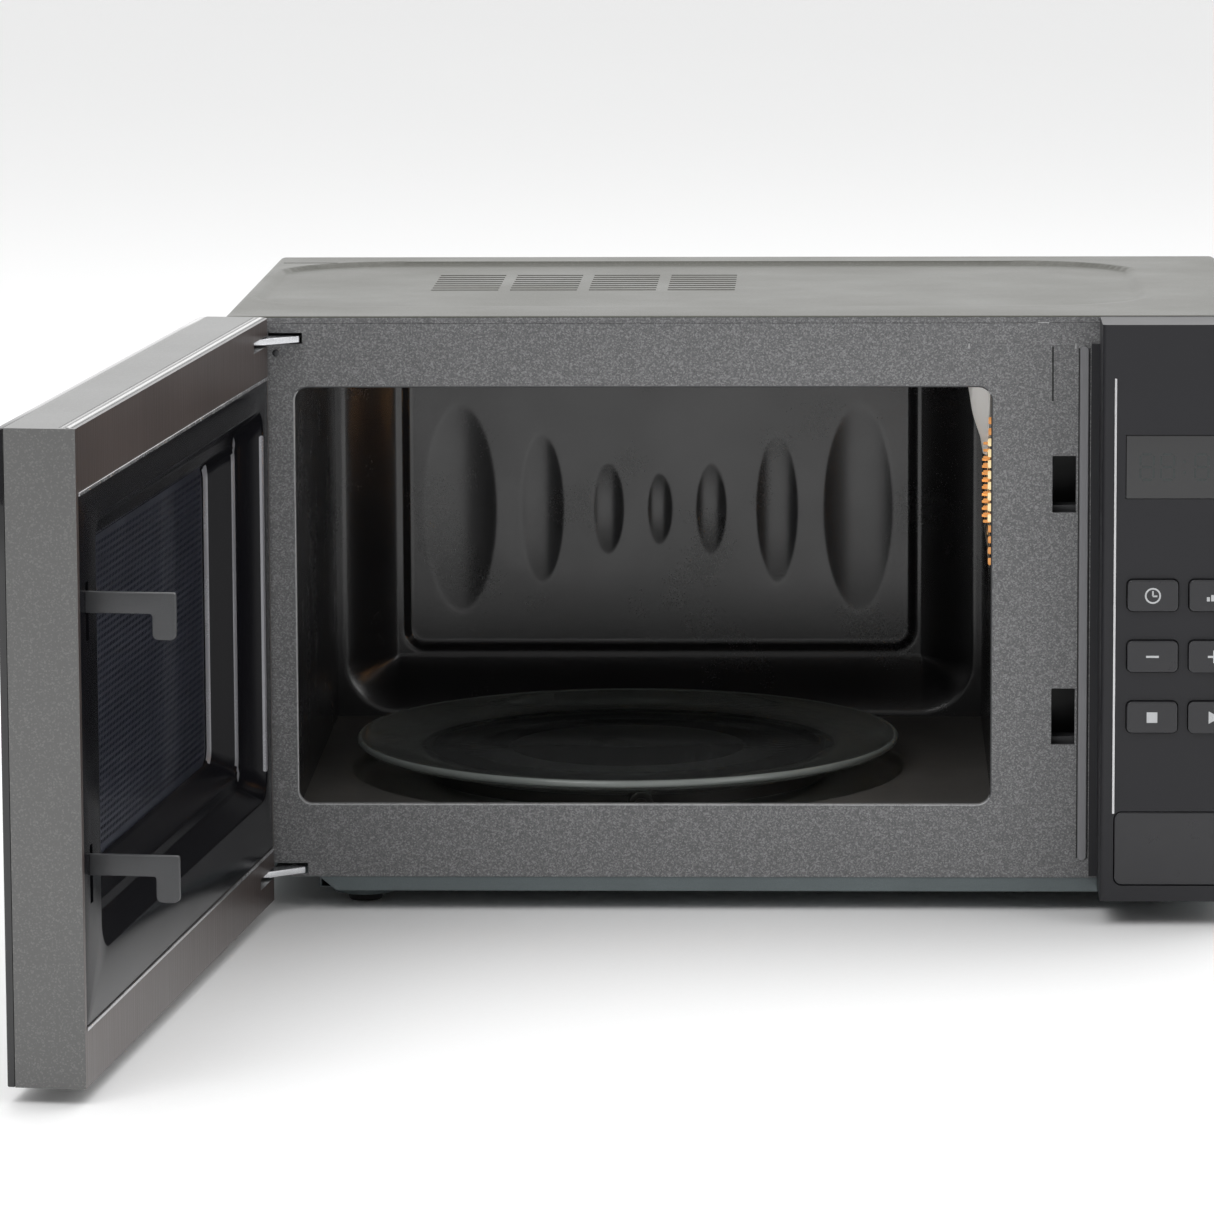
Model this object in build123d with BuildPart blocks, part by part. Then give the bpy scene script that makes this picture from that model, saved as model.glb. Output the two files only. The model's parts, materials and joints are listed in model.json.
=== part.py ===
"""Countertop microwave oven, millimetres.

+X is to the user's right, +Y to the back and +Z up.  The origin is the centre of the cabinet's
footprint on the plane that the feet stand on.  The door stands open at its stop.
"""

import os
from math import atan2, cos, radians, sin, sqrt

from build123d import *

os.makedirs("parts", exist_ok=True)

# ---------------------------------------------------------------- driving dimensions
# Cabinet
cabinet_width = 489.0
cabinet_depth = 332.0
cover_drop = 6.5  # fall of the cover's top from front to back
cover_gap = 2.7  # open joint between the front plate and the cover
sheet = 0.8  # all sheet steel
foot_height = 9.5
base_lip = 7.0  # part of the base pan that shows under the front plate
foot_radius = 8.0
foot_inset_left = 63.5
foot_inset_right = 45.0
foot_inset_y = 30.0

# Front plate and oven opening
opening_width = 331.0
opening_height = 201.0
opening_left = 34.0  # cabinet's left side to the opening
opening_sill = 35.5  # front plate's lower edge to the opening
opening_head = 30.5  # opening to the front plate's upper edge
opening_radius = 6.5

# Cavity
cavity_depth = 300.0
wall_step = 1.5  # side walls stand this far outside the opening
roof_step = 5.0
floor_step = 6.0
back_pan_depth = 18.0
back_pan_radius = 27.0
back_panel_margin = 29.0
back_panel_depth = 8.0
dimple_depth = 4.0

# Turntable
plate_diameter = 270.0
plate_thickness = 4.0
plate_rise = 9.5
track_diameter = 276.0
track_drop = 7.0
turntable_x = -12.0  # from the opening's centre
turntable_y = 142.0  # behind the front plate
roller_circle = 104.0
roller_diameter = 12.4
roller_width = 9.0
roller_phase = 155.0
stub_radius = 2.0

# Door
door_thickness = 34.0
door_standoff = 2.0  # closed door's inner face to the front plate
door_gap = 1.5  # closed door to the control panel
door_open = 96.5
pivot_inset = 11.0  # hinge axis from the door's edge and from its inner face
door_glass = 3.5
cover_wall = 2.4
dish_margin = 13.0  # outer edge of the recess outside the oven opening, at the sides
dish_lower = -8.0  # the same, above and below
ledge_depth = 10.0
ledge_width = 5.0
dish_depth = 22.0
dish_slope = 14.0  # width of each sloping step
pin_radius = 2.5
swing_gap = 0.5  # between the door's rounded hinge edge and the front plate as it swings
hinge_plate = 3.0

# Latch
slot_width = 11.0
slot_height = 27.0
slot_inset = 11.0  # slot to the control panel
slot_centre = 42.75  # lower slot above the oven opening's lower edge
slot_pitch = 111.75
hook_reach = 38.0
hook_height = 20.0
hook_bar = 9.0
hook_tooth = 10.0
hook_thickness = 3.0
latch_travel = 3.0

# Control panel
panel_width = 73.0
panel_proud = 35.0
panel_top = 286.5
panel_bottom = 12.0
panel_wall = 2.5
button_width = 60.0
button_height = 35.0
button_bottom = 8.0  # above the panel's lower edge
key_columns = 2
key_rows = 3
key_width = 24.0
key_height = 15.0
key_pitch = 29.0
key_travel = 1.2
display_height = 30.0

# Fan
fan_diameter = 110.0
fan_blades = 5

# Fits
running_fit = 0.06  # radial
clearance = 0.4  # between pieces that move past each other
seat = 0.15  # between pieces that are fastened together

# ---------------------------------------------------------------- places worked out from them
x_left = -cabinet_width / 2
x_right = cabinet_width / 2
y_front = -cabinet_depth / 2  # outer face of the front plate
y_back = cabinet_depth / 2
z_base = foot_height
plate_z0 = z_base + base_lip
opening_x0 = x_left + opening_left
opening_x1 = opening_x0 + opening_width
opening_x = (opening_x0 + opening_x1) / 2
opening_z0 = plate_z0 + opening_sill
opening_z1 = opening_z0 + opening_height
opening_z = (opening_z0 + opening_z1) / 2
plate_z1 = opening_z1 + opening_head
cover_z1 = plate_z1 + cover_gap + sheet
panel_x0 = x_right - panel_width
plate_x1 = panel_x0 + 5
cavity_x0 = opening_x0 - wall_step
cavity_x1 = opening_x1 + wall_step
cavity_z0 = opening_z0 - floor_step
cavity_z1 = opening_z1 + roof_step
cavity_y1 = y_front + cavity_depth
pan_y0 = cavity_y1 - back_pan_depth
bay_x0 = cavity_x1 + sheet
bay_floor = z_base + sheet
track_z = cavity_z0 - track_drop
table_x = opening_x + turntable_x
table_y = y_front + turntable_y
glass_z = track_z + roller_diameter + 2 * clearance
slot_x = panel_x0 - slot_inset - slot_width / 2
slot_z = [opening_z0 + slot_centre + i * slot_pitch for i in range(2)]
panel_y0 = y_front - panel_proud
door_width = panel_x0 - door_gap - x_left
door_z0 = z_base - 2.5
door_z1 = cover_z1
pivot_x = x_left + pivot_inset
pivot_y = y_front - door_standoff - pivot_inset


def slab(x, y, z, mode=Mode.ADD):
    """A rectangular block between the (low, high) pairs x, y and z."""
    with Locations((sum(x) / 2, sum(y) / 2, sum(z) / 2)):
        Box(x[1] - x[0], y[1] - y[0], z[1] - z[0], mode=mode)


def span(middle, size):
    """The (low, high) pair of a size about its middle."""
    return (middle - size / 2, middle + size / 2)


def inset(pair, amount):
    """The (low, high) pair moved in by an amount at both ends."""
    return (pair[0] + amount, pair[1] - amount)


def save(part, label):
    """Name a finished piece and write its file."""
    part.label = label
    export_step(part, f"parts/{label}.step")


# ================================================================ cabinet
# The outer cover: top and two sides, bent from one sheet, falling slightly to the back.
cover_slope = atan2(cover_drop, cabinet_depth)
vent_groups = 4
vent_slots = 8
vent_width = 33.4
vent_pitch_x = 39.2
vent_slot = 5.0
vent_pitch_y = 11.9
vent_x = table_x - 22
vent_y = y_front + 203
cover_plane = Plane(
    origin=(0, y_front, cover_z1),
    x_dir=(1, 0, 0),
    z_dir=(0, sin(cover_slope), cos(cover_slope)),
)
bend_radius = 4.0
slope_axis = Axis((0, 0, 0), (0, cos(cover_slope), -sin(cover_slope)))
cover_shapes = []
for grow, depth in ((0, cabinet_depth), (sheet, cabinet_depth + 2)):
    with BuildPart() as cover_shape:
        with BuildSketch(Plane.YZ.offset(x_left + grow)):
            with BuildLine():
                Polyline(
                    (-depth / 2, z_base - grow),
                    (depth / 2, z_base - grow),
                    (depth / 2, cover_z1 - cover_drop - grow),
                    (-depth / 2, cover_z1 - grow),
                    close=True,
                )
            make_face()
        extrude(amount=cabinet_width - 2 * grow)
        bends = cover_shape.edges().filter_by(slope_axis, tolerance=0.3).group_by(Axis.Z)[-1]
        fillet(bends, radius=bend_radius - grow)
    cover_shapes.append(cover_shape.part)
with BuildPart() as cabinet_wrap:
    add(cover_shapes[0])
    add(cover_shapes[1], mode=Mode.SUBTRACT)
    with BuildSketch(cover_plane):
        with Locations((vent_x, vent_y - y_front)):
            with GridLocations(vent_pitch_x, vent_pitch_y, vent_groups, vent_slots):
                Rectangle(vent_width, vent_slot)
    extrude(amount=3 * sheet, both=True, mode=Mode.SUBTRACT)
save(cabinet_wrap.part, "cabinet_wrap")

# The base pan with its upturned edges and four stamped foot bulges. Its front left corner is
# notched behind the door's lower hinge, and the lip slopes down from the notch to the first bulge.
pan_x = (x_left + sheet + seat, x_right - sheet - seat)
pan_y = (y_front + sheet, y_back - sheet)
foot_x = (x_left + foot_inset_left, x_right - foot_inset_right)
foot_y = (y_front + foot_inset_y, y_back - foot_inset_y)
foot_spots = [(x, y) for x in foot_x for y in foot_y]
bulge_depth = 5.0
bulge_radius = 17.0
notch_x = foot_x[0] - bulge_radius - 3.5
notch_y = pan_y[0] + 38
pan_inside_z = (z_base + sheet, plate_z0 + 3)
with BuildPart() as base_pan:
    slab(pan_x, pan_y, (z_base, plate_z0 + 2))
    slab((pan_x[0] - 1, notch_x), (pan_y[0] - 1, notch_y), (z_base - 1, plate_z0 + 3), Mode.SUBTRACT)
    slab(
        (pan_x[0] + sheet, pan_x[1] - sheet), (notch_y + sheet, pan_y[1] - sheet), pan_inside_z, Mode.SUBTRACT
    )
    slab(
        (notch_x + sheet, pan_x[1] - sheet), (pan_y[0] + sheet, notch_y + 2 * sheet), pan_inside_z, Mode.SUBTRACT
    )
    with BuildSketch(Plane.XZ.offset(-pan_y[0])):
        with BuildLine():
            Polyline(
                (notch_x, plate_z0), (notch_x + 8.5, z_base), (notch_x, z_base), (notch_x, plate_z0)
            )
        make_face()
    extrude(amount=-bulge_radius / 2, mode=Mode.SUBTRACT)
    with BuildSketch(Plane.XY.offset(z_base + sheet)):
        with Locations(*foot_spots):
            Circle(bulge_radius)
    extrude(amount=-bulge_depth - sheet, taper=20)
    with BuildSketch(Plane.XY.offset(z_base + sheet)):
        with Locations(*foot_spots):
            Circle(bulge_radius - sheet)
    extrude(amount=-bulge_depth, taper=20, mode=Mode.SUBTRACT)
save(base_pan.part, "base_pan")

# Rubber feet, one under each bulge.
with BuildPart() as feet:
    with BuildSketch(Plane.XY):
        with Locations(*foot_spots):
            Circle(foot_radius)
    extrude(amount=z_base - bulge_depth, taper=-8)
save(feet.part, "feet")

# The back sheet, with a field of vent holes behind the fan and a hole for the cord's bush.
fan_x = (bay_x0 + x_right) / 2
fan_z = z_base + 122
fan_y = y_back - 58
bush_radius = 9.0
bush_spot = (bay_x0 + 32, cavity_z1 - 14)
rear_z1 = cover_z1 - cover_drop - sheet - seat
rear_hole_rows = 7
with BuildPart() as rear_panel:
    slab(pan_x, (y_back - sheet, y_back), (z_base, rear_z1))
    fillet(rear_panel.edges().filter_by(Axis.Y).group_by(Axis.Z)[-1], radius=bend_radius)
    with BuildSketch(Plane.XZ.offset(-y_back)):
        with Locations((fan_x, fan_z)):
            with GridLocations(12, 12, rear_hole_rows, rear_hole_rows):
                Circle(4)
        with Locations(bush_spot):
            Circle(bush_radius)
    extrude(amount=3 * sheet, both=True, mode=Mode.SUBTRACT)
save(rear_panel.part, "rear_panel")

# The bush that the mains cord passes through.
with BuildPart() as cord_bush:
    with BuildSketch(Plane.XZ.offset(-y_back)):
        with Locations(bush_spot):
            Circle(bush_radius + 4)
    extrude(amount=-5)
    with BuildSketch(Plane.XZ.offset(-y_back)):
        with Locations(bush_spot):
            Circle(bush_radius - seat)
    extrude(amount=9)
    with BuildSketch(Plane.XZ.offset(-y_back)):
        with Locations(bush_spot):
            Circle(4)
    extrude(amount=12, both=True, mode=Mode.SUBTRACT)
save(cord_bush.part, "cord_bush")

# Screws that hold the cover to the back sheet.
screw_radius = 3.4
screw_z = (z_base + 30, z_base + 140, rear_z1 - 14)
with BuildPart() as cabinet_screws:
    with BuildSketch(Plane.XZ.offset(-y_back)):
        for x in (pan_x[0] + 9, pan_x[1] - 9):
            with Locations(*[(x, z) for z in screw_z]):
                Circle(screw_radius)
    extrude(amount=-2)
save(cabinet_screws.part, "cabinet_screws")

# ================================================================ cavity
# The front plate round the oven opening, with the two latch slots.
plate_x0 = x_left + sheet + seat
hinge_slot_x = (pivot_x + 12, pivot_x + 26)
hinge_levels = (plate_z0 + 2.5, plate_z1 - 8.5)  # underside of each hinge plate
with BuildPart() as cavity_front_plate:
    slab((plate_x0, plate_x1), (y_front, y_front + sheet), (plate_z0, plate_z1))
    with BuildSketch(Plane.XZ.offset(-y_front)):
        with Locations((opening_x, opening_z)):
            RectangleRounded(opening_width, opening_height, opening_radius)
        for z in slot_z:
            with Locations((slot_x, z)):
                Rectangle(slot_width, slot_height)
        for z in hinge_levels:
            with Locations((sum(hinge_slot_x) / 2, z + hinge_plate / 2)):
                Rectangle(hinge_slot_x[1] - hinge_slot_x[0] + 2, hinge_plate + 2)
    extrude(amount=3 * sheet, both=True, mode=Mode.SUBTRACT)
save(cavity_front_plate.part, "cavity_front_plate")

wall_y = (y_front + sheet, pan_y0)
with BuildPart() as cavity_left_wall:
    slab((cavity_x0 - sheet, cavity_x0), wall_y, (cavity_z0, cavity_z1))
save(cavity_left_wall.part, "cavity_left_wall")

# The right wall: a round field of holes in front of the lamp, a lower field behind it with its rows
# half a pitch higher, and the port for the microwaves.
lamp_y = y_front + 116
lamp_z = opening_z0 + 132
field_radius = 34.0
rear_field_length = 104.0  # behind the lamp
rear_field_top = 12.0  # above the lamp
hole_radius = 1.7
grid_pitch = 5.2
row_pitch = grid_pitch * 0.866
field_rows = int(field_radius // row_pitch)
rear_rows = int(rear_field_length // row_pitch)
field = [
    (j * row_pitch, (i + (0.5 if j > field_rows else 0)) * grid_pitch)
    for j in range(-field_rows, rear_rows + 1)
    for i in range(-field_rows, field_rows + 1)
]
lamp_holes = [
    (lamp_y + y, lamp_z + z)
    for y, z in field
    if y * y + z * z < field_radius**2 or (y > 0 and 2 - field_radius < z < rear_field_top)
]
port_y = (y_front + 176, y_front + 236)
port_z = (opening_z0 + 160, opening_z0 + 192)
with BuildPart() as cavity_right_wall:
    slab((cavity_x1, cavity_x1 + sheet), wall_y, (cavity_z0, cavity_z1))
    with BuildSketch(Plane.YZ.offset(cavity_x1)):
        with Locations(*lamp_holes):
            Circle(hole_radius)
        with Locations((sum(port_y) / 2, sum(port_z) / 2)):
            Rectangle(port_y[1] - port_y[0], port_z[1] - port_z[0])
    extrude(amount=3 * sheet, both=True, mode=Mode.SUBTRACT)
save(cavity_right_wall.part, "cavity_right_wall")

with BuildPart() as cavity_roof:
    slab((cavity_x0 - sheet, cavity_x1 + sheet), wall_y, (cavity_z1, cavity_z1 + sheet))
save(cavity_roof.part, "cavity_roof")

# The floor, with the round stamped track that the rollers run in.
shaft_radius = 3.5
with BuildPart() as cavity_floor:
    slab((cavity_x0 - sheet, cavity_x1 + sheet), wall_y, (cavity_z0 - sheet, cavity_z0))
    with BuildSketch(Plane.XY.offset(cavity_z0)):
        with Locations((table_x, table_y)):
            Circle(track_diameter / 2 + sheet)
    extrude(amount=-track_drop - sheet)
    with BuildSketch(Plane.XY.offset(cavity_z0)):
        with Locations((table_x, table_y)):
            Circle(track_diameter / 2)
    extrude(amount=-track_drop, mode=Mode.SUBTRACT)
    with Locations((table_x, table_y, track_z)):
        Hole(shaft_radius + 1, depth=3 * track_drop)
save(cavity_floor.part, "cavity_floor")

# The drawn back pan: rounded corners, a panel stamped backwards and seven elliptical dimples.
pan_width = cavity_x1 - cavity_x0 - 8
pan_height = cavity_z1 - cavity_z0 - 4
pan_x_mid = (cavity_x0 + cavity_x1) / 2
pan_z_mid = (cavity_z0 + cavity_z1) / 2
panel_w = pan_width - 2 * back_panel_margin
panel_h = pan_height - 2 * back_panel_margin
dimple_middle = 3  # number of dimples on each side of the middle one
dimple_places = [panel_w / 2 * share for share in (0.0, 0.2, 0.457, 0.774)]
dimple_half_heights = [panel_h * share for share in (0.125, 0.16, 0.26, 0.36)]
dimple_half_widths = [6.5, 8.0, 11.0, 18.3]
dimples = []
for i in range(-dimple_middle, dimple_middle + 1):
    side = -1 if i < 0 else 1
    size = abs(i)
    dimples.append((side * dimple_places[size], dimple_half_widths[size], dimple_half_heights[size]))
outer_x = (cavity_x0 - sheet, cavity_x1 + sheet)
outer_z = (cavity_z0 - sheet, cavity_z1 + sheet)
with BuildPart() as cavity_back:
    slab(outer_x, (pan_y0, pan_y0 + sheet), outer_z)
    with BuildSketch(Plane.XZ.offset(-pan_y0)):
        with Locations((pan_x_mid, pan_z_mid)):
            RectangleRounded(pan_width + 2 * sheet, pan_height + 2 * sheet, back_pan_radius + sheet)
    extrude(amount=-back_pan_depth - sheet)
    with BuildSketch(Plane.XZ.offset(-pan_y0)):
        with Locations((pan_x_mid, pan_z_mid)):
            RectangleRounded(pan_width, pan_height, back_pan_radius)
    extrude(amount=-back_pan_depth, mode=Mode.SUBTRACT)
    for grow, start, depth, mode in (
        (sheet, cavity_y1, back_panel_depth + sheet, Mode.ADD),
        (0, cavity_y1, back_panel_depth, Mode.SUBTRACT),
    ):
        with BuildSketch(Plane.XZ.offset(-start)):
            with Locations((pan_x_mid, pan_z_mid)):
                RectangleRounded(panel_w + 2 * grow, panel_h + 2 * grow, 8 + grow)
        extrude(amount=-depth, mode=mode)
    panel_y = cavity_y1 + back_panel_depth
    for grow, depth, mode in ((sheet, dimple_depth + sheet, Mode.ADD), (0, dimple_depth, Mode.SUBTRACT)):
        with BuildSketch(Plane.XZ.offset(-panel_y)):
            for offset_x, half_width, half_height in dimples:
                with Locations((pan_x_mid + offset_x, pan_z_mid)):
                    Ellipse(half_width + grow, half_height + grow)
        extrude(amount=-depth, mode=mode)
save(cavity_back.part, "cavity_back")

# The pale sheet that covers the microwave port, standing off the wall on its folded edges.  Its
# lower front corner is cut away above the lamp's holes.
mica_y = (port_y[0] - 106, port_y[1] + 40)
mica_z = (port_z[0] - 9, port_z[1] + 7)
mica_proud = 5.0
mica_outline = [
    (mica_y[1], mica_z[1]),
    (mica_y[0], mica_z[1]),
    (mica_y[0], mica_z[1] - 8),
    (mica_y[0] + 26, mica_z[0] + 24),
    (mica_y[0] + 62, mica_z[0] + 5),
    (mica_y[0] + 82, mica_z[0]),
    (mica_y[1], mica_z[0]),
]
with BuildPart() as waveguide_cover:
    with BuildSketch(Plane.YZ.offset(cavity_x1 - mica_proud)):
        Polygon(*mica_outline, align=None)
    extrude(amount=mica_proud)
    with BuildSketch(Plane.YZ.offset(cavity_x1 - mica_proud + sheet)):
        Polygon(*mica_outline, align=None)
        offset(amount=-sheet, mode=Mode.REPLACE)
    extrude(amount=mica_proud, mode=Mode.SUBTRACT)
save(waveguide_cover.part, "waveguide_cover")

# ================================================================ microwave generator
# The waveguide is a closed channel on the cavity's wall, open to the port and to the antenna.
guide_depth = 40.0
guide_wall = 1.0
guide_y = (port_y[0] - 10, port_y[1] + 28)
guide_z = (port_z[0] - 10, port_z[1] + 4)
guide_x1 = bay_x0 + guide_depth
antenna_y = guide_y[1] - 34
antenna_z = (guide_z[0] + guide_z[1]) / 2
antenna_radius = 7.5
with BuildPart() as waveguide:
    slab((bay_x0, guide_x1), guide_y, guide_z)
    slab(
        (bay_x0, guide_x1 - guide_wall),
        (guide_y[0] + guide_wall, guide_y[1] - guide_wall),
        (guide_z[0] + guide_wall, guide_z[1] - guide_wall),
        Mode.SUBTRACT,
    )
    with BuildSketch(Plane.YZ.offset(guide_x1)):
        with Locations((antenna_y, antenna_z)):
            Circle(antenna_radius + 2)
    extrude(amount=3 * guide_wall, both=True, mode=Mode.SUBTRACT)
save(waveguide.part, "waveguide")

# Magnetron: the finned anode with its antenna, and the steel yoke round it.
anode_radius = 19.0
yoke_length = 70.0
yoke_wall = 1.5
yoke_x = (guide_x1, guide_x1 + yoke_length)
yoke_y = span(antenna_y, 78)
yoke_z = span(antenna_z, 74)
with BuildPart() as magnetron_yoke:
    slab(yoke_x, yoke_y, yoke_z)
    slab(
        (yoke_x[0] + yoke_wall, yoke_x[1] - yoke_wall),
        (yoke_y[0] - 1, yoke_y[1] + 1),
        (yoke_z[0] + yoke_wall, yoke_z[1] - yoke_wall),
        Mode.SUBTRACT,
    )
    with BuildSketch(Plane.YZ.offset(yoke_x[0])):
        with Locations((antenna_y, antenna_z)):
            Circle(antenna_radius + 1)
    extrude(amount=2 * yoke_wall, both=True, mode=Mode.SUBTRACT)
save(magnetron_yoke.part, "magnetron_yoke")

anode_x = (yoke_x[0] + yoke_wall + seat, yoke_x[1] - yoke_wall - seat)
fin_count = 7
fin_pitch = (anode_x[1] - anode_x[0]) / (fin_count + 1)
with BuildPart() as magnetron_core:
    with BuildSketch(Plane.YZ.offset(anode_x[0])):
        with Locations((antenna_y, antenna_z)):
            Circle(anode_radius)
    extrude(amount=anode_x[1] - anode_x[0])
    with BuildSketch(Plane.YZ.offset(anode_x[0])):
        with Locations((antenna_y, antenna_z)):
            Circle(antenna_radius)
    extrude(amount=-24)
    for i in range(fin_count):
        with BuildSketch(Plane.YZ.offset(anode_x[0] + (i + 1) * fin_pitch)):
            with Locations((antenna_y, antenna_z)):
                Rectangle(66, 74 - 2 * yoke_wall - 2 * seat)
        extrude(amount=sheet)
save(magnetron_core.part, "magnetron_core")

# High-voltage transformer: a laminated core with two windows, and two coils on its middle leg.
core_x = (bay_x0 + 12, bay_x0 + 104)
core_y = (y_front + 64, y_front + 124)
core_z = (bay_floor, bay_floor + 74)
core_leg = 16.0
window_x = (core_x[0] + core_leg, core_x[1] - core_leg)
core_mid = sum(core_x) / 2
middle_leg = 30.0
window_z = (core_z[0] + core_leg, core_z[1] - core_leg)
with BuildPart() as transformer_core:
    slab(core_x, core_y, core_z)
    slab(window_x, (core_y[0] - 1, core_y[1] + 1), window_z, Mode.SUBTRACT)
    slab(span(core_mid, middle_leg), core_y, window_z)
save(transformer_core.part, "transformer_core")

coil_gap = 1.0
coil_height = (window_z[1] - window_z[0] - 3 * coil_gap) / 2
with BuildPart() as transformer_coils:
    for i in range(2):
        z = window_z[0] + coil_gap + i * (coil_height + coil_gap)
        slab(
            (window_x[0] + coil_gap, window_x[1] - coil_gap),
            (core_y[0] - 14, core_y[1] + 14),
            (z, z + coil_height),
        )
    slab(
        span(core_mid, middle_leg + 2 * coil_gap),
        (core_y[0] - coil_gap, core_y[1] + coil_gap),
        (window_z[0] - 1, window_z[1] + 1),
        Mode.SUBTRACT,
    )
save(transformer_coils.part, "transformer_coils")

# High-voltage capacitor: an oval can with two terminals, on the base pan.
can_spot = (bay_x0 + 34, core_y[1] + 42)
with BuildPart() as hv_capacitor:
    with BuildSketch(Plane.XY.offset(bay_floor)):
        with Locations(can_spot):
            SlotOverall(54, 34)
    extrude(amount=78)
    with BuildSketch(Plane.XY.offset(bay_floor + 78)):
        with Locations(can_spot):
            with GridLocations(20, 0, 2, 1):
                Circle(4)
    extrude(amount=8)
save(hv_capacitor.part, "hv_capacitor")

# High-voltage diode beside the capacitor.
with BuildPart() as hv_diode:
    with BuildSketch(Plane.YZ.offset(can_spot[0] + 34)):
        with Locations((can_spot[1], bay_floor + 5)):
            Circle(5)
    extrude(amount=22)
save(hv_diode.part, "hv_diode")

# ================================================================ fan
# The duct is a wall with a ring round the blade, and two arms that hold the motor behind it.
hub_radius = 13.0
hub_depth = 16.0
fan_shaft = 2.0
blade_y = fan_y + 11
blade_reach = fan_diameter / 2 - hub_radius
motor_height = 40.0
motor_y = (blade_y + hub_depth / 2 + 3, y_back - sheet - 5)
duct_wall = 1.5
duct_z = span(fan_z, fan_diameter + 14)
duct_x = (bay_x0 + clearance, pan_x[1] - sheet - clearance)
with BuildPart() as fan_duct:
    slab(duct_x, (fan_y - duct_wall, fan_y), duct_z)
    with BuildSketch(Plane.XZ.offset(-fan_y)):
        with Locations((fan_x, fan_z)):
            Circle(fan_diameter / 2 + 4)
    extrude(amount=-22)
    with BuildSketch(Plane.XZ.offset(-fan_y + 2 * duct_wall)):
        with Locations((fan_x, fan_z)):
            Circle(fan_diameter / 2 + 2.5)
    extrude(amount=-40, mode=Mode.SUBTRACT)
    arm_start = motor_height / 2 + seat
    arm_length = fan_diameter / 2 + 4 - arm_start
    for side in (-1, 1):
        arm_z = span(fan_z + side * (arm_start + arm_length / 2), arm_length)
        foot_z = span(fan_z + side * (arm_start + 1), 2)
        slab(span(fan_x, 14), (fan_y + 22 - seat, fan_y + 24), arm_z)
        slab(span(fan_x, 14), (fan_y + 22, motor_y[0] + 12), foot_z)
save(fan_duct.part, "fan_duct")

with BuildPart() as fan_blade:
    with BuildSketch(Plane.XZ.offset(-(blade_y - hub_depth / 2))):
        with Locations((fan_x, fan_z)):
            Circle(hub_radius)
    extrude(amount=-hub_depth)
    fan_face = Plane(origin=(fan_x, blade_y, fan_z), x_dir=(1, 0, 0), z_dir=(0, -1, 0))
    with Locations(fan_face):
        with PolarLocations(0, fan_blades):
            with Locations(Location((hub_radius - 2 + blade_reach / 2, 0, 0), (32, 0, 0))):
                Box(blade_reach, 28, 1.2)
    with BuildSketch(Plane.XZ.offset(-(blade_y - hub_depth))):
        with Locations((fan_x, fan_z)):
            Circle(fan_shaft + running_fit)
    extrude(amount=-2 * hub_depth, mode=Mode.SUBTRACT)
save(fan_blade.part, "fan_blade")

# Fan motor behind the blade: laminations, coil and the shaft that carries the blade.
with BuildPart() as fan_motor:
    slab(span(fan_x, 46), motor_y, span(fan_z, motor_height))
    slab(span(fan_x + 30, 18), (motor_y[0] + 4, motor_y[1] - 4), span(fan_z, motor_height - 6))
    with BuildSketch(Plane.XZ.offset(-motor_y[0])):
        with Locations((fan_x, fan_z)):
            Circle(fan_shaft)
    extrude(amount=hub_depth + 2)
save(fan_motor.part, "fan_motor")

# ================================================================ lamp, drive and boards
lamp_box = 2 * field_radius + 5  # open at the back, so that light reaches the lower field
lamp_depth = 21.0
lamp_wall = 1.5
bulb_radius = 9.0
with BuildPart() as lamp_holder:
    slab((bay_x0, bay_x0 + lamp_depth), span(lamp_y, lamp_box), span(lamp_z, lamp_box))
    slab(
        (bay_x0 - 1, bay_x0 + lamp_depth - lamp_wall),
        (lamp_y - lamp_box / 2 + lamp_wall, lamp_y + lamp_box / 2 + 1),
        span(lamp_z, lamp_box - 2 * lamp_wall),
        Mode.SUBTRACT,
    )
save(lamp_holder.part, "lamp_holder")

with BuildPart() as lamp_bulb:
    with BuildSketch(Plane.YZ.offset(bay_x0 + 4)):
        with Locations((lamp_y, lamp_z)):
            Circle(bulb_radius)
    extrude(amount=lamp_depth - lamp_wall - 4 - seat)
    fillet(lamp_bulb.faces().sort_by(Axis.X)[0].edges(), radius=bulb_radius - 2)
save(lamp_bulb.part, "lamp_bulb")

# Turntable motor under the floor, with its shaft up through the hole.
with BuildPart() as turntable_motor:
    with BuildSketch(Plane.XY.offset(track_z - sheet - seat)):
        with Locations((table_x, table_y)):
            Circle(24.5)
    extrude(amount=-15)
    with BuildSketch(Plane.XY.offset(track_z - sheet - seat)):
        with Locations((table_x, table_y)):
            Circle(shaft_radius)
    extrude(amount=8)
save(turntable_motor.part, "turntable_motor")

# The three-lobed coupler on the shaft, which carries the glass plate round.
coupler_z = (track_z + clearance, glass_z - clearance)
with BuildPart() as drive_coupler:
    with BuildSketch(Plane.XY.offset(coupler_z[0])):
        with Locations((table_x, table_y)):
            Circle(13)
            with PolarLocations(0, 3):
                with Locations((14, 0)):
                    Rectangle(28, 12)
    extrude(amount=coupler_z[1] - coupler_z[0])
    with BuildSketch(Plane.XY.offset(coupler_z[0])):
        with Locations((table_x, table_y)):
            Circle(shaft_radius + running_fit)
    extrude(amount=8, mode=Mode.SUBTRACT)
save(drive_coupler.part, "drive_coupler")

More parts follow.
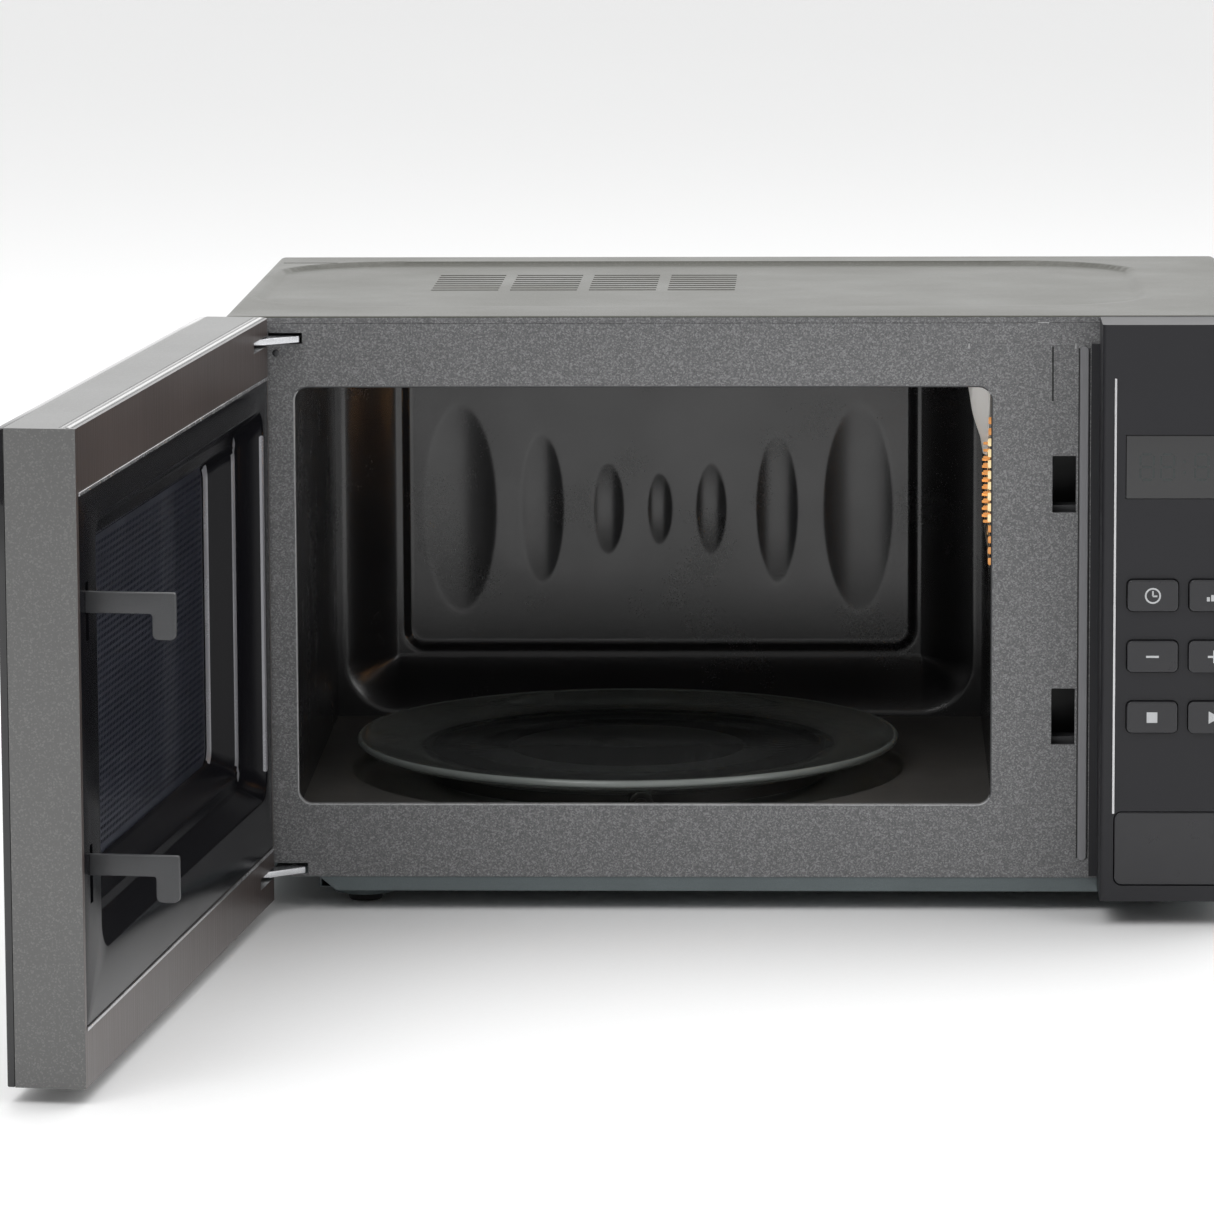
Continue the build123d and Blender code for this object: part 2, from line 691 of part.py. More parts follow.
# The glass plate, with a raised rim.
table_axis = Axis((table_x, table_y, 0), (0, 0, 1))
plate_radius = plate_diameter / 2
flat_radius = plate_radius - 30
with BuildPart() as glass_plate:
    with BuildSketch(Plane(origin=(table_x, table_y, glass_z), x_dir=(1, 0, 0), z_dir=(0, -1, 0))):
        with BuildLine():
            Polyline((0, plate_thickness), (0, 0), (flat_radius, 0))
            Spline(
                (flat_radius, 0),
                (plate_radius, plate_rise - 2),
                tangents=[(1, 0), (1, 0.75)],
            )
            ThreePointArc(
                (plate_radius, plate_rise - 2),
                (plate_radius - 0.2, plate_rise - 0.4),
                (plate_radius - 2.2, plate_rise),
            )
            Spline(
                (plate_radius - 2.2, plate_rise),
                (flat_radius - 1, plate_thickness),
                tangents=[(-1, -0.75), (-1, 0)],
            )
            Line((flat_radius - 1, plate_thickness), (0, plate_thickness))
        make_face()
    revolve(axis=table_axis)
save(glass_plate.part, "glass_plate")

# The roller ring and its three wheels.
roller_z = track_z + clearance + roller_diameter / 2
ring_outer = roller_circle - roller_width / 2 - clearance
ring_plane = Plane(origin=(table_x, table_y, roller_z), z_dir=(0, 0, 1))
with BuildPart() as roller_ring:
    with BuildSketch(ring_plane.offset(-3)):
        Circle(ring_outer)
        Circle(ring_outer - 7, mode=Mode.SUBTRACT)
    extrude(amount=6)
    for i in range(3):
        turn = radians(roller_phase + 120 * i)
        spoke = Vector(cos(turn), sin(turn), 0)
        stub_start = ring_plane.origin + spoke * (ring_outer - 3)
        stub_length = 3 + roller_width + 2 * clearance
        with BuildSketch(Plane(origin=stub_start, z_dir=spoke)):
            Circle(stub_radius)
        extrude(amount=stub_length)
        with BuildSketch(Plane(origin=stub_start + spoke * stub_length, z_dir=spoke)):
            Circle(stub_radius + 1.2)
        extrude(amount=1.5)
save(roller_ring.part, "roller_ring")

for i in range(3):
    turn = radians(roller_phase + 120 * i)
    spoke = Vector(cos(turn), sin(turn), 0)
    inner_face = ring_plane.origin + spoke * (roller_circle - roller_width / 2)
    with BuildPart() as roller:
        with BuildSketch(Plane(origin=inner_face, z_dir=spoke)):
            Circle(roller_diameter / 2)
            Circle(stub_radius + running_fit, mode=Mode.SUBTRACT)
        extrude(amount=roller_width)
    save(roller.part, f"roller_{i + 1}")

# Mains filter board under the cover, beside the cord's bush.
filter_z = cavity_z1 - 34
filter_x = (bay_x0 + 12, bay_x0 + 96)
filter_y = (fan_y + 2, y_back - 16)
with BuildPart() as filter_board:
    slab(filter_x, filter_y, (filter_z, filter_z + 1.6))
    with BuildSketch(Plane.XY.offset(filter_z + 1.6)):
        with Locations((filter_x[1] - 22, sum(filter_y) / 2)):
            Circle(14)
            Circle(6, mode=Mode.SUBTRACT)
    extrude(amount=12)
    slab((filter_x[0] + 6, filter_x[0] + 24), span(sum(filter_y) / 2, 22), (filter_z + 1.6, filter_z + 10))
save(filter_board.part, "filter_board")

# Thermal cut-out on the cavity's roof.
with BuildPart() as thermal_cutout:
    with BuildSketch(Plane.XY.offset(cavity_z1 + sheet)):
        with Locations((cavity_x1 - 40, table_y)):
            Circle(8)
    extrude(amount=8)
    slab(span(cavity_x1 - 40, 24), span(table_y, 6), (cavity_z1 + sheet, cavity_z1 + sheet + 1))
save(thermal_cutout.part, "thermal_cutout")

# ================================================================ control panel
accent_x = panel_x0 + 6.2
button_x = span(panel_x0 + 6.7 + button_width / 2, button_width)
button_z = (panel_bottom + button_bottom, panel_bottom + button_bottom + button_height)
accent_z = (button_z[1] - 1, panel_top - 25)
display_z = (panel_top - 52 - display_height, panel_top - 52)
display_x = (accent_x + 5, x_right - 7)
key_field_x = sum(display_x) / 2
key_field_z = (button_z[1] + display_z[0]) / 2
key_x = [key_field_x + (i - (key_columns - 1) / 2) * key_pitch for i in range(key_columns)]
key_z = [key_field_z + (j - (key_rows - 1) / 2) * key_pitch for j in range(key_rows)]
key_grid = [(x, z) for z in key_z for x in key_x]
flange = 1.2
flange_width = 4.0
flange_z = (plate_z0 + 1, plate_z1 - 10)
with BuildPart() as control_panel:
    slab((panel_x0, x_right), (panel_y0, y_front), (panel_bottom, panel_top))
    fillet(control_panel.edges().filter_by(Axis.Z).group_by(Axis.Y)[0], radius=2)
    slab(
        (panel_x0 + panel_wall, x_right - panel_wall),
        (panel_y0 + panel_wall, y_front + 1),
        (panel_bottom + panel_wall, panel_top - panel_wall),
        Mode.SUBTRACT,
    )
    with BuildSketch(Plane.XZ.offset(-panel_y0)):
        with Locations((sum(button_x) / 2, sum(button_z) / 2)):
            RectangleRounded(button_width + 2 * clearance, button_height + 2 * clearance, 4)
        with Locations((sum(display_x) / 2, sum(display_z) / 2)):
            Rectangle(display_x[1] - display_x[0] + 2 * seat, display_height + 2 * seat)
        with Locations(*key_grid):
            RectangleRounded(key_width + 2 * clearance, key_height + 2 * clearance, 3)
    extrude(amount=2 * panel_wall, both=True, mode=Mode.SUBTRACT)
    slab(span(accent_x, 1.2 + 2 * seat), (panel_y0 - 1, panel_y0 + 0.8), accent_z, Mode.SUBTRACT)
    slab((panel_x0 - flange_width, panel_x0 + panel_wall), (y_front - flange, y_front), flange_z)
save(control_panel.part, "control_panel")

with BuildPart() as panel_accent_line:
    slab(
        span(accent_x, 1.2),
        (panel_y0 - 0.3, panel_y0 + 0.8),
        (accent_z[0] + seat, accent_z[1] - seat),
    )
save(panel_accent_line.part, "panel_accent_line")

with BuildPart() as display_window:
    slab(display_x, (panel_y0 - 0.2, panel_y0 + panel_wall), display_z)
save(display_window.part, "display_window")

# The board behind the panel's face carries the display and the key switches.
board_y = (panel_y0 + 15, panel_y0 + 16.6)
board_x = (panel_x0 + panel_wall + 1, x_right - panel_wall - 1)
with BuildPart() as control_board:
    slab(board_x, board_y, (key_field_z - 1.5 * key_pitch - 4, display_z[1] + 6))
    for x in (board_x[0] + 12, board_x[0] + 32):
        slab(span(x, 15), (board_y[1], board_y[1] + 12), span(key_field_z, 20))
    slab(span(board_x[1] - 14, 14), (board_y[1], board_y[1] + 10), span(key_field_z + 30, 26))
    slab(inset(display_x, 4), (panel_y0 + panel_wall + 1, board_y[0]), inset(display_z, 3))
save(control_board.part, "control_board")

# Push keys: a cap in the panel's face with a stem back to its switch.
key_proud = 1.0
for number, (x, z) in enumerate(key_grid, start=1):
    with BuildPart() as key:
        with BuildSketch(Plane.XZ.offset(-(panel_y0 - key_proud - key_travel))):
            with Locations((x, z)):
                RectangleRounded(key_width, key_height, 2.6)
        extrude(amount=-(key_proud + key_travel + panel_wall + 2))
        with BuildSketch(Plane.XZ.offset(-(panel_y0 + panel_wall + 2))):
            with Locations((x, z)):
                Circle(3)
        extrude(amount=-(board_y[0] - panel_y0 - panel_wall - 2 - key_travel - clearance))
    save(key.part, f"key_{number}")

# The door button: a cap in the panel's lower corner with a stem back to the release lever.
stem_x = (panel_x0 + 26, panel_x0 + 34)
stem_z = span(sum(button_z) / 2, 6)
lever_y = y_front + 16
lever_arm = 26.0
lever_z = sum(stem_z) / 2 + lever_arm
lever_face = lever_y - 7
stem_end = lever_face - clearance
with BuildPart() as open_button:
    with BuildSketch(Plane.XZ.offset(-panel_y0)):
        with Locations((sum(button_x) / 2, sum(button_z) / 2)):
            RectangleRounded(button_width, button_height, 3.6)
    extrude(amount=-11)
    fillet(open_button.faces().sort_by(Axis.Y)[0].edges(), radius=0.8)
    slab(stem_x, (panel_y0 + 11, stem_end), stem_z)
save(open_button.part, "open_button")

# The button's return spring, round its stem, against a rib of the panel.
spring_radius = 9.0
spring_back = y_front - 2
spring_front = panel_y0 + 11 + seat
with BuildPart() as button_spring:
    with BuildSketch(Plane.XZ.offset(-spring_front)):
        with Locations((sum(stem_x) / 2, sum(stem_z) / 2)):
            Circle(spring_radius)
            Circle(spring_radius - 1.2, mode=Mode.SUBTRACT)
    extrude(amount=-(spring_back - spring_front))
save(button_spring.part, "button_spring")

# ================================================================ latch parts in the cabinet
rail_x = (slot_x + slot_width / 2 + 2, slot_x + slot_width / 2 + 4.5)
latch_z = (slot_z[0] - slot_height / 2 - 18, slot_z[1] + slot_height / 2 + 12)
rail_y1 = y_front + 46
lever_shaft = 3.0
with BuildPart() as latch_board:
    slab((slot_x - slot_width / 2 - 8, rail_x[1]), (y_front + sheet, y_front + sheet + 2.5), latch_z)
    slab(rail_x, (y_front + sheet, rail_y1), latch_z)
    slab(rail_x, (y_front + sheet, rail_y1), (lever_z - 8, latch_z[0]))
    slab((slot_x - slot_width / 2 - 8, rail_x[1]), (rail_y1 - 2, rail_y1), latch_z)
    for z in slot_z:
        slab(
            span(slot_x, slot_width),
            (y_front, y_front + 10),
            span(z, slot_height),
            Mode.SUBTRACT,
        )
        foot_of_hook = z - hook_height / 2
        slab(
            (slot_x - slot_width / 2, rail_x[0]),
            (y_front + 8, y_front + 19),
            (foot_of_hook - 5, foot_of_hook - 1),
        )
    with BuildSketch(Plane.YZ.offset(rail_x[0])):
        with Locations((lever_y, lever_z)):
            Circle(lever_shaft + running_fit)
    extrude(amount=10, both=True, mode=Mode.SUBTRACT)
save(latch_board.part, "latch_board")

# Three micro switches on the latch board's rail.
switch_x = (rail_x[1], rail_x[1] + 10)
with BuildPart() as micro_switches:
    for i in range(3):
        z = lever_z + 24 + i * 36
        slab(switch_x, (y_front + 14, y_front + 42), (z, z + 16))
        slab((switch_x[0] + 3, switch_x[1] - 3), (y_front + 11, y_front + 14), (z + 5, z + 9))
save(micro_switches.part, "micro_switches")

# The release lever: a shaft with one arm behind the button's stem and one under the lower hook.
hook_foot = slot_z[0] - hook_height / 2
lift_y = (y_front - door_standoff + hook_reach - hook_tooth, y_front - door_standoff + hook_reach)
with BuildPart() as release_lever:
    with BuildSketch(Plane.YZ.offset(slot_x - 4)):
        with Locations((lever_y, lever_z)):
            Circle(lever_shaft)
    extrude(amount=stem_x[1] - slot_x + 4)
    slab(stem_x, (lever_face, lever_y + lever_shaft), (lever_z - lever_arm - 5, lever_z + 2))
    slab(
        (slot_x - 4, slot_x + 3),
        (lever_y - 2, lift_y[1]),
        (lever_z - lever_shaft, lever_z + lever_shaft),
    )
    slab(
        (slot_x - 4, slot_x + 3),
        (lift_y[0], lift_y[1]),
        (lever_z - lever_shaft, hook_foot - latch_travel - 1.2),
    )
save(release_lever.part, "release_lever")

# A bright strip on the front plate between the latch slots and the control panel.
strip_x = (panel_x0 - 9.4, panel_x0 - 5.1)
with BuildPart() as slot_trim_strip:
    with BuildSketch(Plane.XZ.offset(-y_front)):
        with Locations((sum(strip_x) / 2, (plate_z0 + 8.5 + plate_z1 - 11) / 2)):
            SlotOverall(plate_z1 - 11 - plate_z0 - 8.5, strip_x[1] - strip_x[0], rotation=90)
    extrude(amount=1.2)
save(slot_trim_strip.part, "slot_trim_strip")

# ================================================================ hinges
# Each plate comes through its slot in the front plate and ends in an eye round the door's pin.
eye_radius = 6.0
with BuildPart() as hinge_plates:
    for z in hinge_levels:
        with BuildSketch(Plane.XY.offset(z)):
            with BuildLine():
                Polyline(
                    (hinge_slot_x[0], y_front + 26),
                    (hinge_slot_x[0], y_front - 2),
                    (pivot_x - 1, pivot_y + eye_radius - 0.6),
                    (pivot_x - 1, pivot_y - eye_radius + 0.6),
                    (pivot_x + 10, pivot_y - 3.5),
                    (hinge_slot_x[1], y_front - 4),
                    (hinge_slot_x[1], y_front + 26),
                    close=True,
                )
            make_face()
            with Locations((pivot_x, pivot_y)):
                Circle(eye_radius)
                Circle(pin_radius + running_fit, mode=Mode.SUBTRACT)
        extrude(amount=hinge_plate)
save(hinge_plates.part, "hinge_plates")

# ================================================================ door, standing open
# Door coordinates: s along the door from its hinge edge, up, and depth from the inner face out.
swing = radians(door_open)
along = Vector(cos(swing), -sin(swing), 0)
outward = Vector(-sin(swing), -cos(swing), 0)
pivot = Vector(pivot_x, pivot_y, 0)
door_corner = pivot - along * pivot_inset - outward * pivot_inset


def door_face(depth):
    """The plane at this depth in the door, seen from outside: x is s and y is up."""
    return Plane(origin=door_corner + outward * depth, x_dir=along, z_dir=outward)


def door_slab(s, up, depth, mode=Mode.ADD):
    """A rectangular block in the open door between (low, high) pairs."""
    middle = door_corner + along * (sum(s) / 2) + outward * (sum(depth) / 2) + Vector(0, 0, sum(up) / 2)
    with Locations(Plane(origin=middle, x_dir=along, z_dir=outward)):
        Box(s[1] - s[0], up[1] - up[0], depth[1] - depth[0], mode=mode)


door_s = (0, door_width)
door_up = (door_z0, door_z1)
dish_s = (opening_x0 - dish_margin - x_left, opening_x1 + dish_margin - x_left)
dish_up = (opening_z0 - dish_lower, opening_z1 + dish_lower)
cover_up = (opening_z0 - 19, opening_z1 + 5)
# The hinge edge is rounded just enough to swing past the front plate.
corner_reach = pivot_inset * sqrt(2)
hinge_edge_radius = (corner_reach - pivot_inset - door_standoff + swing_gap) / (sqrt(2) - 1)
cover_s = (hinge_edge_radius + 1, door_width - 4.0)
glass_depth = (door_thickness - door_glass, door_thickness)
hook_s = slot_x - x_left - 2
key_s = (hook_s - hook_thickness / 2, hook_s + hook_thickness / 2)
ledge_s = inset(dish_s, dish_slope)
ledge_up = inset(dish_up, dish_slope * 0.6)
pane_s = inset(ledge_s, ledge_width + dish_slope)
pane_up = inset(ledge_up, ledge_width + dish_slope * 0.6)
key_up = (slot_z[0] - 40, slot_z[1] + 30)
key_depth = (6.0, door_thickness - door_glass - 4.5)
well_s = (key_s[0] - 1, key_s[1] + 1)
hinge_pocket_s = (-1, pivot_inset + 28)
hinge_pocket_depth = (-1, pivot_inset + eye_radius + 2)
frame_depth = (0.0, glass_depth[0])

# The moulded frame: a ring, with a rebate for the inner cover, pockets for the hinge plates and
# a well for the latch key.
with BuildPart() as door_frame:
    door_slab(door_s, door_up, frame_depth)
    inner_edges = door_frame.edges().filter_by(Axis.Z).group_by(Axis((0, 0, 0), -outward))[-1]
    fillet(inner_edges.sort_by(Axis((0, 0, 0), -along))[-1], radius=hinge_edge_radius)
    door_slab(
        inset(dish_s, -cover_wall - seat),
        inset(dish_up, -cover_wall - seat),
        (-1, door_thickness + 1),
        Mode.SUBTRACT,
    )
    door_slab(inset(cover_s, -seat), inset(cover_up, -seat), (-1, cover_wall), Mode.SUBTRACT)
    door_slab(well_s, (key_up[0] - 12, key_up[1] + 8), (-1, key_depth[1] + 1), Mode.SUBTRACT)
    for z in hinge_levels:
        door_slab(hinge_pocket_s, (z - 1, z + hinge_plate + 1), hinge_pocket_depth, Mode.SUBTRACT)
        with BuildSketch(Plane.XY.offset(z - 6)):
            with Locations((pivot_x, pivot_y)):
                Circle(pin_radius + seat)
        extrude(amount=hinge_plate + 12, mode=Mode.SUBTRACT)
save(door_frame.part, "door_frame")

with BuildPart() as hinge_pins:
    for z in hinge_levels:
        with BuildSketch(Plane.XY.offset(z - 5.5)):
            with Locations((pivot_x, pivot_y)):
                Circle(pin_radius)
        extrude(amount=hinge_plate + 11)
save(hinge_pins.part, "hinge_pins")

with BuildPart() as door_glass_panel:
    door_slab(door_s, door_up, glass_depth)
save(door_glass_panel.part, "door_glass")


# The inner cover: a flat rim and a recess in two sloping steps with a ledge between.
with BuildPart() as choke_cover:
    door_slab(cover_s, cover_up, (0, cover_wall))
    for grow, mode in ((cover_wall, Mode.ADD), (0, Mode.SUBTRACT)):
        steps = (
            ((dish_s, dish_up, 0, 12), (ledge_s, ledge_up, ledge_depth + grow, 10)),
            (
                (inset(ledge_s, ledge_width), inset(ledge_up, ledge_width), ledge_depth, 9),
                (pane_s, pane_up, dish_depth, 8),
            ),
        )
        for step in steps:
            for s, up, depth, radius in step:
                width = s[1] - s[0] + 2 * grow
                height = up[1] - up[0] + 2 * grow
                with BuildSketch(door_face(depth)):
                    with Locations((sum(s) / 2, sum(up) / 2)):
                        RectangleRounded(width, height, radius + grow)
            loft(mode=mode)
    for z in slot_z:
        door_slab(
            well_s,
            (z - hook_height / 2 - 1, z + hook_height / 2 + latch_travel + 1),
            (-1, cover_wall + 1),
            Mode.SUBTRACT,
        )
save(choke_cover.part, "choke_cover")

# The window film and the perforated screen behind the recess.
film_depth = (dish_depth + seat, dish_depth + seat + 0.4)
screen_depth = (film_depth[1] + seat, film_depth[1] + seat + sheet)
with BuildPart() as window_film:
    door_slab(inset(pane_s, -6), inset(pane_up, -6), film_depth)
save(window_film.part, "window_film")

hole_pitch = 14.0
with BuildPart() as door_screen:
    door_slab(inset(dish_s, -1), inset(dish_up, -1), screen_depth)
    with BuildSketch(door_face(screen_depth[0])):
        with Locations((sum(pane_s) / 2, sum(pane_up) / 2)):
            columns = int((pane_s[1] - pane_s[0]) // hole_pitch)
            rows = int((pane_up[1] - pane_up[0]) // hole_pitch)
            with GridLocations(hole_pitch, hole_pitch, columns, rows):
                Circle(1.5)
    extrude(amount=3 * sheet, both=True, mode=Mode.SUBTRACT)
save(door_screen.part, "door_screen")

# Bright lines along the upper and lower edges of the inner cover.
line_height = 1.6
with BuildPart() as inner_trim_lines:
    door_slab(cover_s, (cover_up[1] + seat, cover_up[1] + seat + line_height), (-0.5, 0))
    door_slab(cover_s, (cover_up[0] - seat - line_height, cover_up[0] - seat), (-0.5, 0))
save(inner_trim_lines.part, "inner_trim_lines")

# The latch key: a sprung bar inside the door with two hooks that reach through the inner cover.
bar_back = key_depth[0] + 4
with BuildPart() as latch_key:
    door_slab(key_s, key_up, (bar_back, key_depth[1]))
    for z in slot_z:
        top = z + hook_height / 2
        door_slab(key_s, (top - hook_bar, top), (-hook_reach, bar_back))
        door_slab(key_s, (z - hook_height / 2, top), (-hook_reach, -hook_reach + hook_tooth))
save(latch_key.part, "latch_key")

# The tension spring that pulls the key down.
spring_up = (key_up[0] - 11.5, key_up[0] - 0.3)
spring_spot = (sum(key_s) / 2, 16.0)
spring_centre = door_corner + along * spring_spot[0] + outward * spring_spot[1]
with BuildPart() as latch_spring:
    with BuildSketch(Plane.XY.offset(spring_up[0])):
        with Locations((spring_centre.X, spring_centre.Y)):
            Circle(2.4)
            Circle(1.6, mode=Mode.SUBTRACT)
    extrude(amount=spring_up[1] - spring_up[0])
save(latch_spring.part, "latch_spring")
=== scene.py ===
"""Microwave oven standing with its door open: materials, detail pieces, light and camera."""

import json
import math
import random

import bmesh
import bpy
from mathutils import Matrix, Vector


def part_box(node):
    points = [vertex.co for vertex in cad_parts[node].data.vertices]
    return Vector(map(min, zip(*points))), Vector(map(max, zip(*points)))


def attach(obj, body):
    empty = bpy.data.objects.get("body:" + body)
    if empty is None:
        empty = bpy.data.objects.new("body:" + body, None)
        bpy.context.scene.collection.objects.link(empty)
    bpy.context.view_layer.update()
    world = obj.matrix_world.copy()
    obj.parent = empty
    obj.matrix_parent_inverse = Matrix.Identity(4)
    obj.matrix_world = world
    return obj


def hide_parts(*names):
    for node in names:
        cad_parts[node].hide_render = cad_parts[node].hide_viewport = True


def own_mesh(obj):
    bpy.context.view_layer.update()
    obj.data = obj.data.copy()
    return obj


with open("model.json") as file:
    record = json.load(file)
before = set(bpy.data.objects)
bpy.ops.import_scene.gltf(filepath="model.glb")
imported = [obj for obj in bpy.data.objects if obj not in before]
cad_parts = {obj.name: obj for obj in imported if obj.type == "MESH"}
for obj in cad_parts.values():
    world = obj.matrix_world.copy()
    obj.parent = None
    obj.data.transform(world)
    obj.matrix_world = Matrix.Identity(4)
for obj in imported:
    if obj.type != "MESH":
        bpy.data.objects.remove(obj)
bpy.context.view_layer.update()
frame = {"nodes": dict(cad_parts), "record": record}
scene = bpy.context.scene
draw = random.Random(7)
MM = 0.001

slot_of = {part["node"]: part["material_slot"] for part in frame["record"]["subparts"]}
body_of = {node: body for body, nodes in frame["record"]["behaviour"]["bodies"].items() for node in nodes}


def spans(node):
    """A node's (low, high) pairs along x, y and z, in millimetres."""
    low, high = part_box(node)
    return [(low[i] / MM, high[i] / MM) for i in range(3)]


def smoothstep(low, high, value):
    t = min(1.0, max(0.0, (value - low) / (high - low)))
    return t * t * (3 - 2 * t)


def rounded_distance(x, y, half_x, half_y, radius):
    """Distance outside a rounded rectangle about the origin; negative inside."""
    qx, qy = abs(x) - half_x + radius, abs(y) - half_y + radius
    return math.hypot(max(qx, 0), max(qy, 0)) + min(max(qx, qy), 0) - radius


# ---------------------------------------------------------------- materials
class Shade:
    """A principled material whose colour, roughness and bump come from noise at real sizes."""

    def __init__(self, name, colour, rough, metal=0.0, **sockets):
        self.material = bpy.data.materials.new(name)
        self.material.use_nodes = True
        self.tree = self.material.node_tree
        self.shader = self.tree.nodes["Principled BSDF"]
        self.shader.inputs["Metallic"].default_value = metal
        for key, value in sockets.items():
            self.shader.inputs[key.replace("_", " ")].default_value = value
        self.colour, self.rough = colour, rough
        self.place = self.tree.nodes.new("ShaderNodeTexCoord").outputs["Object"]

    def node(self, kind, **settings):
        made = self.tree.nodes.new(kind)
        for key, value in settings.items():
            setattr(made, key, value)
        return made

    def noise(self, size, detail=2.0, stretch=(1, 1, 1)):
        """Noise whose features are about size millimetres across, longer where stretch is large."""
        scale = self.node("ShaderNodeMapping")
        scale.inputs["Scale"].default_value = [1 / (size * MM * s) for s in stretch]
        made = self.node("ShaderNodeTexNoise")
        made.inputs["Scale"].default_value = 1.0
        made.inputs["Detail"].default_value = detail
        self.tree.links.new(self.place, scale.inputs["Vector"])
        self.tree.links.new(scale.outputs["Vector"], made.inputs["Vector"])
        return made.outputs["Fac"]

    def between(self, source, low, high, start=0.3, stop=0.7):
        made = self.node("ShaderNodeMapRange")
        for key, value in (("From Min", start), ("From Max", stop), ("To Min", low), ("To Max", high)):
            made.inputs[key].default_value = value
        self.tree.links.new(source, made.inputs["Value"])
        return made.outputs["Result"]

    def mix(self, factor, first, second):
        made = self.node("ShaderNodeMix", data_type="RGBA")
        for key, value in ((6, first), (7, second)):
            if isinstance(value, bpy.types.NodeSocket):
                self.tree.links.new(value, made.inputs[key])
            else:
                made.inputs[key].default_value = (*value, 1)
        self.tree.links.new(factor, made.inputs[0])
        return made.outputs[2]

    def dress(self, spread=0.08, blotch=60.0, grain=0.5, bump=0.05, vary=0.06, stretch=(1, 1, 1), extra=None):
        """Colour that drifts over blotch, roughness and bump from grain, all in millimetres."""
        patch = self.noise(blotch, 3.0)
        fine = self.noise(grain, 2.0, stretch)
        dark = [c * (1 - spread) for c in self.colour]
        light = [min(1, c * (1 + spread)) for c in self.colour]
        shade = self.mix(self.between(patch, 0, 1), dark, light)
        shade = self.mix(self.between(fine, 0, 0.5), shade, [c * (1 - spread) for c in dark])
        if extra:
            shade = extra(self, shade)
        self.tree.links.new(shade, self.shader.inputs["Base Color"])
        mixed = self.node("ShaderNodeMath", operation="MULTIPLY_ADD")
        mixed.inputs[1].default_value = vary
        self.tree.links.new(self.between(fine, -0.5, 0.5), mixed.inputs[0])
        self.tree.links.new(self.between(patch, self.rough - vary, self.rough + vary), mixed.inputs[2])
        self.tree.links.new(mixed.outputs[0], self.shader.inputs["Roughness"])
        relief = self.node("ShaderNodeBump")
        relief.inputs["Strength"].default_value = bump
        relief.inputs["Distance"].default_value = grain * MM
        self.tree.links.new(fine, relief.inputs["Height"])
        self.tree.links.new(relief.outputs["Normal"], self.shader.inputs["Normal"])
        return self.material

    def cells(self, size):
        """One random value for each cell about size millimetres across."""
        made = self.node("ShaderNodeTexVoronoi")
        made.inputs["Scale"].default_value = 1 / (size * MM)
        self.tree.links.new(self.place, made.inputs["Vector"])
        split = self.node("ShaderNodeSeparateColor")
        self.tree.links.new(made.outputs["Color"], split.inputs[0])
        return split.outputs[0]

    def bands(self, direction, pitch, low, high):
        """A value that swings between low and high along direction, once each pitch millimetres."""
        made = self.node("ShaderNodeTexWave", bands_direction=direction)
        made.inputs["Scale"].default_value = math.pi / 10 / (pitch * MM)
        self.tree.links.new(self.place, made.inputs["Vector"])
        return self.between(made.outputs["Fac"], low, high, 0, 1)


def speckles(size, share, light, amount):
    def add(shade, colour):
        flake = shade.between(shade.cells(size), 0, amount, 1 - share, 1)
        return shade.mix(flake, colour, light)

    return add


def stripes(direction, pitch, tone):
    def add(shade, colour):
        return shade.mix(shade.bands(direction, pitch, 0, 1), colour, tone)

    return add


